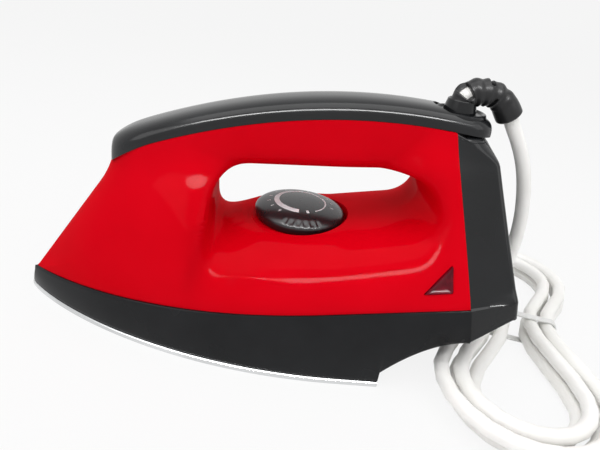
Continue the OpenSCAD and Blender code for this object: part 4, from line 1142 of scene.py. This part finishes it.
red_window = surfaced(
    # Tinted acrylic: dark wine red where no light is behind it, glassy
    "tinted_acrylic", "#540818", "#7c0e24", 5, 0.12, 3.0, 0.005,
    **{"Transmission Weight": 0.2, "Specular IOR Level": 0.1, "IOR": 1.49})
neon_glass = surfaced(
    # Clear blown glass with a warm cast from the gas
    "warm_clear_glass", "#d98a4a", "#e8a468", 4, 0.08, 2.0, 0.004,
    **{"Transmission Weight": 0.5, "IOR": 1.5})
lens = piece("pilot_window", [faceted_lens()], red_window, 20)
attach(lens, "iron")
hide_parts("pilot_lens")
finish("pilot_lamp", neon_glass)
finish("lamp_holder", ceramic)


# Terminals and leads
# A ceramic block on the bracket with three brass screws, insulated leads to the element, a thermal
# fuse in the neutral one, and a short earth tail.
ELEMENT_X = SOLE_END - PAD_IN - 6
POST_X = ELEMENT_X + 8
POST_Y = float(0.52 * sole_half(ELEMENT_X))
LEAD_TOP = SHIELD_Z + 6 + 13.5 + 1.3
BRACKET_X = HEEL_X - 30
BLOCK_X = BRACKET_X + 1.5
BLOCK_FOOT = (BLOCK_X + 5, 68.8)
POLE = 11
MOVING_Z = 22.5
STACK_X = DIAL_X - 24
FUSE = np.array([PILLAR_X - 4, 15, SHIELD_Z + 3.2])
LEAD_R = 1.3
leads = {
    "live_lead": [[
        (BLOCK_FOOT[0], -POLE, 68.8), (BLOCK_FOOT[0], -POLE, 61.8), (BLOCK_FOOT[0] - 6, -POLE - 6, 50.8),
        (BRACKET_X - 10, -26, 47), (BRACKET_X - 20, -POST_Y, LEAD_TOP + 1), (POST_X, -POST_Y, LEAD_TOP),
    ]],
    "neutral_lead": [[
        (BLOCK_FOOT[0], POLE, 68.8), (BLOCK_FOOT[0], POLE, 61.8), (BLOCK_FOOT[0] - 6, POLE + 6, 50.8),
        (BRACKET_X - 10, 22, 46), (BRACKET_X - 26, 17, 32),
        tuple(FUSE + [16, 0, 1]), tuple(FUSE + [6.1, 0, 0]),
    ], [
        (POST_X, POST_Y, LEAD_TOP), (POST_X - 12, POST_Y - 2, LEAD_TOP - 2), (DIAL_X + 6, 18, MOVING_Z + 9),
        (STACK_X + 11, 12, MOVING_Z + 6), (STACK_X + 8, 6.5, MOVING_Z + 3),
        (STACK_X + 8, 4.8, MOVING_Z + 0.6),
    ]],
    "earth_lead": [[
        (BLOCK_FOOT[0], 0, 68.8), (BLOCK_FOOT[0], 0, 66.8),
        (BLOCK_X + 2.6, 0, 64.8), (BLOCK_X + 1.6, 0, 63.3),
    ]],
}
LEAD_SHADES = {
    "live_lead": ("brown_lead_sleeve", "#5a3521", "#6e4429"),
    "neutral_lead": ("blue_lead_sleeve", "#254b86", "#31609f"),
    "earth_lead": ("green_lead_sleeve", "#5d8f2e", "#74a63c"),
}
for lead, routes in leads.items():
    name, dark, light = LEAD_SHADES[lead]
    # Silicone-coated glass sleeve: matt, with the weave just showing
    sleeve = surfaced(name, dark, light, 3, 0.55, 0.5, 0.03)
    wire = piece(lead + "_sleeve", [tube(curve_through(route, 8), LEAD_R, 14) for route in routes], sleeve)
    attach(wire, "iron")
    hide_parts(lead)
finish("terminal_block", ceramic)
finish("terminal_screws", turned_brass)
finish("thermal_fuse", pressed_steel)


# Swivel
# A fixed collar pressed in the handle cover, and a turning barrel in it with a flared cup that holds
# the cord guard. Both are charcoal mouldings.
COLLAR_TOP = SEAT_TOP + 2.6
BARREL_R = 8
collar = piece("swivel_collar_moulding", [turned([
    (8.05, SEAT_TOP - 13), (11.05, SEAT_TOP - 13), (11.05, SEAT_TOP + 0.1), (12.9, SEAT_TOP + 0.1),
    (13, SEAT_TOP + 0.5), (13, SEAT_TOP + 1.6), (12.7, SEAT_TOP + 2.3), (12.1, COLLAR_TOP),
    (11.3, COLLAR_TOP), (10.8, COLLAR_TOP - 0.4), (10.4, COLLAR_TOP - 0.9), (8.6, COLLAR_TOP - 1),
    (8.05, COLLAR_TOP - 1.2), (8.05, SEAT_TOP - 12.9)], (SWIVEL_X, 0, 0), 96)], glossy_black, 30)
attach(collar, "iron")
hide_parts("swivel_collar")
barrel = piece("swivel_barrel", [turned([
    (1, SEAT_TOP - 15.1), (10, SEAT_TOP - 15.1), (10, SEAT_TOP - 13.3), (7.9, SEAT_TOP - 13.3),
    (7.9, COLLAR_TOP + 0.2), (7.5, COLLAR_TOP + 2), (7.05, COLLAR_TOP + 4), (6.85, COLLAR_TOP + 4.9),
    (6.5, COLLAR_TOP + 5.2), (6, COLLAR_TOP + 5.1), (5.7, COLLAR_TOP + 4.7), (5.6, COLLAR_TOP + 1),
    (1, COLLAR_TOP + 1)], (SWIVEL_X, 0, 0), 72)], glossy_black, 30)


# Cord guard
# Soft black rubber boot that carries the cord over and down. Staggered slots let it bend, so the white
# cord shows through them near the barrel, and it ends in a plain bell.
GUARD_Z = COLLAR_TOP + 2.6
GUARD_ROUTE = [
    (SWIVEL_X, 0, GUARD_Z), (SWIVEL_X + 1.4, 0, GUARD_Z + 4), (94, 0, 132.4), (101.5, 0, 132.6),
    (108, 0, 129.2), (113.6, 0, 122.6),
]
SLOTS = [(0.15, 0.055, 90, 62), (0.15, 0.055, 270, 62), (0.45, 0.032, 62, 40), (0.45, 0.032, 242, 40),
         (0.55, 0.026, 10, 40), (0.55, 0.026, 190, 40)]


def guard_radius(s, q):
    """The boot's radius along its length s and round it q, in millimetres.

    It bulges in rounded rings at the slots, narrows after them, and flares to the bell. A slot is a
    window in s and in angle where the radius falls under the cord's.
    """
    plain = 6.0 + 0.5 * np.sin(np.pi * share(s / 0.6)) + 0.6 * ease((s - 0.62) / 0.3)
    rings = 0.35 * np.cos(2 * np.pi * 7 * s) * ease((0.8 - s) / 0.2)
    lip = -0.9 * share((s - 0.965) / 0.035) ** 2 - 0.8 * share((0.02 - s) / 0.02)
    r = (plain + rings + lip)[:, None] + 0 * q[None, :]
    for middle, reach, turn, spread in SLOTS:
        off = np.abs((np.degrees(q) - turn + 180) % 360 - 180)[None, :]
        inside = ease((reach - np.abs(s - middle)) / 0.018)[:, None] * ease((spread - off) / 9)
        r = mix(r, 3.1, inside)
    return r


guard_line = curve_through(GUARD_ROUTE, 44)
guard_way = np.concatenate([[0], np.cumsum(np.linalg.norm(np.diff(guard_line, axis=0), axis=1))])
guard_share = guard_way / guard_way[-1]
rubber = surfaced(
    # Moulded PVC rubber: black, satin, with a soft skin
    "soft_black_pvc", "#1b1b1c", "#262627", 12, 0.34, 0.9, 0.02, **{"Specular IOR Level": 0.3})
q_round = np.linspace(0, 2 * np.pi, 72, endpoint=False)
guard = piece("cord_guard_boot", [tube(guard_line, guard_radius(guard_share, q_round), 72)], rubber, 50)
core = piece("cord_in_guard", [tube(guard_line[6:-6], CORD_R, 24)], pvc_sheath)
for turning in (barrel, guard, core):
    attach(turning, "swivel")
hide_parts("swivel_neck")
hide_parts("cord_guard")


# Hank tie
# White nylon strap once round the waist of the hank, over both layers.
TIE_W = 4
TIE_T = 0.9
tie_v = (-WAIST_TIGHT - 1.5 * WAIST_STEP - CORD_R - FIT, WAIST_TIGHT + WAIST_STEP + CORD_R + FIT)
tie_z = (LOW_Z + WAIST_LIFT - CORD_R - FIT, HIGH_Z + CORD_R + FIT)


def strap_loop(out, width):
    """A round-cornered rectangle across the hank, grown by out, at half a width to one side."""
    r = 3 + out
    q = np.radians(np.arange(0, 360, 7.5) + 3.75)
    middle = ((tie_v[0] + tie_v[1]) / 2, (tie_z[0] + tie_z[1]) / 2)
    flat = ((tie_v[1] - tie_v[0]) / 2 + out - r, (tie_z[1] - tie_z[0]) / 2 + out - r)
    v = middle[0] + np.sign(np.cos(q)) * flat[0] + r * np.cos(q)
    z = middle[1] + np.sign(np.sin(q)) * flat[1] + r * np.sin(q)
    place = HANK_MID + v[:, None] * HANK_ACROSS + width * HANK_ALONG
    return np.column_stack([place, z])


nylon = surfaced(
    # Woven nylon tape: white, matt, threads 0.5 mm apart drawn as grain
    "white_nylon_tape", "#d8d8d6", "#ebebea", 4, 0.6, 0.5, 0.06)
section = [(0, -2), (0.1, -2), (TIE_T - 0.1, -2), (TIE_T, -1.9),
           (TIE_T, 1.9), (TIE_T - 0.1, 2), (0.1, 2), (0, 1.9)]
loops = np.array([strap_loop(out, width) for out, width in section])
tie = piece("nylon_strap", [(loops, grid_quads(len(section), loops.shape[1], True, True))], nylon)
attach(tie, "iron")
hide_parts("hank_tie")


# Plug
# Three-pin plug with round pins, moulded in off-white PVC. It lies on its flat side, and its body
# runs down to the cord through a short sleeve.
PLUG_AT = (99.5, 85.5)
PLUG_W = 44
PLUG_H = 38
PLUG_EXIT = (134.5, 9)
EARTH_PIN = (7.05 / 2, 21, 0, 31.2)
POLE_PINS = [(5.05 / 2, 15, side * 19.05 / 2, 9) for side in (-1, 1)]


def plug_sections():
    """Cross-sections along the plug: an oval standing on its flat side, drawn down to the round sleeve.

    Each is a superellipse of half width w between a lowest and a highest point, cut flat at the ground.
    """
    x = np.concatenate([PLUG_AT[0] + np.array([0, 0.25, 0.8, 1.8]),
                        np.linspace(PLUG_AT[0] + 4, PLUG_AT[0] + 18, 8),
                        np.linspace(PLUG_AT[0] + 19, PLUG_EXIT[0] - 0.6, 26), [PLUG_EXIT[0]]])
    edge = 1.8 * (1 - np.sqrt(1 - share(1 - (x - PLUG_AT[0]) / 1.8) ** 2))
    t = share((x - PLUG_AT[0] - 17) / (PLUG_EXIT[0] - PLUG_AT[0] - 17))
    drop = 0.5 * ease(t) + 0.5 * np.sqrt(1 - (1 - share(t * 1.02)) ** 2)
    w = mix(PLUG_W / 2, 6.1, drop) - edge
    low = mix(0, 2.9, ease((t - 0.35) / 0.65))
    high = mix(PLUG_H, 15.1, drop) - edge
    q = np.linspace(0, 2 * np.pi, 72, endpoint=False)
    middle, tall = mix(PLUG_H / 2 - 0 * t, 9, drop), 1
    reach = np.where(np.sin(q)[None, :] > 0,
                     (high - middle)[:, None], (middle - low + 2.5 * (1 - t))[:, None])
    power = mix(0.86, 1, t)[:, None]
    y = w[:, None] * np.sign(np.cos(q)) * np.abs(np.cos(q)) ** power
    z = middle[:, None] + tall * reach * np.sign(np.sin(q)) * np.abs(np.sin(q)) ** power
    z = np.maximum(z, (low + edge)[:, None])
    x = np.broadcast_to(x[:, None], y.shape)
    return np.stack([x, PLUG_AT[1] + y, z], -1)


def pin_form(radius, length, y, z):
    """A round pin with a domed tip, from inside the plug out past its face."""
    dome = np.radians(np.linspace(0, 84, 7))
    tip = [(radius - 1 + math.cos(a) * 1.0, -length + 1 - math.sin(a)) for a in dome]
    profile = [(radius, 5), (radius, -length + 1), *tip, (radius - 1.2, -length)]
    return turned(profile, (PLUG_AT[0], PLUG_AT[1] + y, z), 32, "x")


moulded_white = surfaced(
    # Moulded rigid PVC: off-white, satin, lightly textured
    "moulded_white_pvc", "#dfddd7", "#eae8e3", 20, 0.38, 0.8, 0.02)
pin_brass = surfaced(
    # Nickel-plated brass pins, bright with a warm cast
    "nickel_plated_brass", "#b9b4a8", "#d6d1c4", 5, 0.22, 0.8, 0.006, Metallic=1.0)
sections = plug_sections()
plug = piece("plug_moulding",
             [lathe_closed(sections, sections[0].mean(0), sections[-1].mean(0))], moulded_white, 40)
pins = piece("plug_pin_set", [pin_form(*EARTH_PIN), *(pin_form(*p) for p in POLE_PINS)], pin_brass, 40)
for plug_part, node, slot_name in ((plug, "plug_body", "plug_white"), (pins, "plug_pins", "brass")):
    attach(plug_part, "iron")
    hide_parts(node)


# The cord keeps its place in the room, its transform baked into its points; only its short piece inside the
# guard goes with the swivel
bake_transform(cord)
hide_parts("cord_upper", "cord_hank", "cord_lower")


# Room
# A plain pale floor and a soft white surround; the lamps are soft boxes over the iron and at its side.
def in_view(tree):
    """1 on rays from the camera, off a mirror or through glass, and 0 on the light that falls on things."""
    seen = add_node(tree, "ShaderNodeLightPath")
    direct = add_node(tree, "ShaderNodeMath", {
        0: seen.outputs["Is Camera Ray"], 1: seen.outputs["Is Transmission Ray"]}, operation="MAXIMUM")
    return add_node(tree, "ShaderNodeMath", {
        0: direct.outputs["Value"], 1: seen.outputs["Is Glossy Ray"]}, operation="MAXIMUM").outputs["Value"]


def plain_floor():
    """A wide floor. What the camera sees of it is mostly its own pale colour, so its tone stays even."""
    size = 6.0
    data = bpy.data.meshes.new("floor")
    corners = [(-size, -size, 0), (size, -size, 0), (size, size, 0), (-size, size, 0)]
    data.from_pydata(corners, [], [(0, 1, 2, 3)])
    floor = bpy.data.objects.new("floor", data)
    bpy.context.scene.collection.objects.link(floor)
    material, tree = new_material("pale_floor")
    matt = add_node(tree, "ShaderNodeBsdfDiffuse", {"Color": linear("#f2f2f2")})
    pale = add_node(tree, "ShaderNodeEmission", {"Color": linear("#fbfbfb"), "Strength": 1.0})
    part = add_node(tree, "ShaderNodeMath", {0: in_view(tree), 1: 0.9}, operation="MULTIPLY")
    both = add_node(tree, "ShaderNodeMixShader", {
        0: part.outputs["Value"], 1: matt.outputs["BSDF"], 2: pale.outputs["Emission"]})
    add_node(tree, "ShaderNodeOutputMaterial", {"Surface": both.outputs["Shader"]})
    data.materials.append(material)


def white_surround():
    """The world: a plain grey light on matt surfaces, and a pale one where it is seen or mirrored."""
    world = bpy.data.worlds.new("surround")
    bpy.context.scene.world = world
    world.use_nodes = True
    tree = world.node_tree
    tree.nodes.clear()
    fill = add_node(tree, "ShaderNodeBackground", {"Color": linear("#ffffff"), "Strength": 0.5})
    pale = add_node(tree, "ShaderNodeBackground", {"Color": linear("#f5f5f5"), "Strength": 1.0})
    both = add_node(tree, "ShaderNodeMixShader", {
        0: in_view(tree), 1: fill.outputs["Background"], 2: pale.outputs["Background"]})
    add_node(tree, "ShaderNodeOutputWorld", {"Surface": both.outputs["Shader"]})


def soft_box(name, place, target, size, watts):
    """An oblong lamp at a place in metres that faces a target."""
    lamp = bpy.data.lights.new(name, "AREA")
    lamp.shape = "RECTANGLE"
    lamp.size, lamp.size_y = size
    lamp.energy = watts
    holder = bpy.data.objects.new(name, lamp)
    bpy.context.scene.collection.objects.link(holder)
    holder.location = place
    holder.rotation_euler = (Vector(target) - Vector(place)).to_track_quat("-Z", "Y").to_euler()
    return holder


plain_floor()
white_surround()
soft_box("top_light", (0, 0, 0.75), (0, 0, 0.05), (0.9, 0.5), 2.8)
soft_box("near_light", (0, -0.42, 0.56), (0, 0, 0.06), (0.7, 0.01), 0.9)
soft_box("nose_light", (-0.5, -0.35, 0.5), (-0.06, 0, 0.06), (0.4, 0.4), 0.9)
soft_box("heel_light", (0.5, -0.3, 0.5), (0.08, 0, 0.06), (0.4, 0.4), 0.6)
# A strip that only mirrors in glossy surfaces: it draws the highlights along the shoulder
strip = soft_box("strip_light", (0, -0.39, 0.585), (0, 0, 0.06), (0.7, 0.06), 5)
strip.visible_diffuse = False
bpy.context.scene.view_settings.view_transform = "Standard"
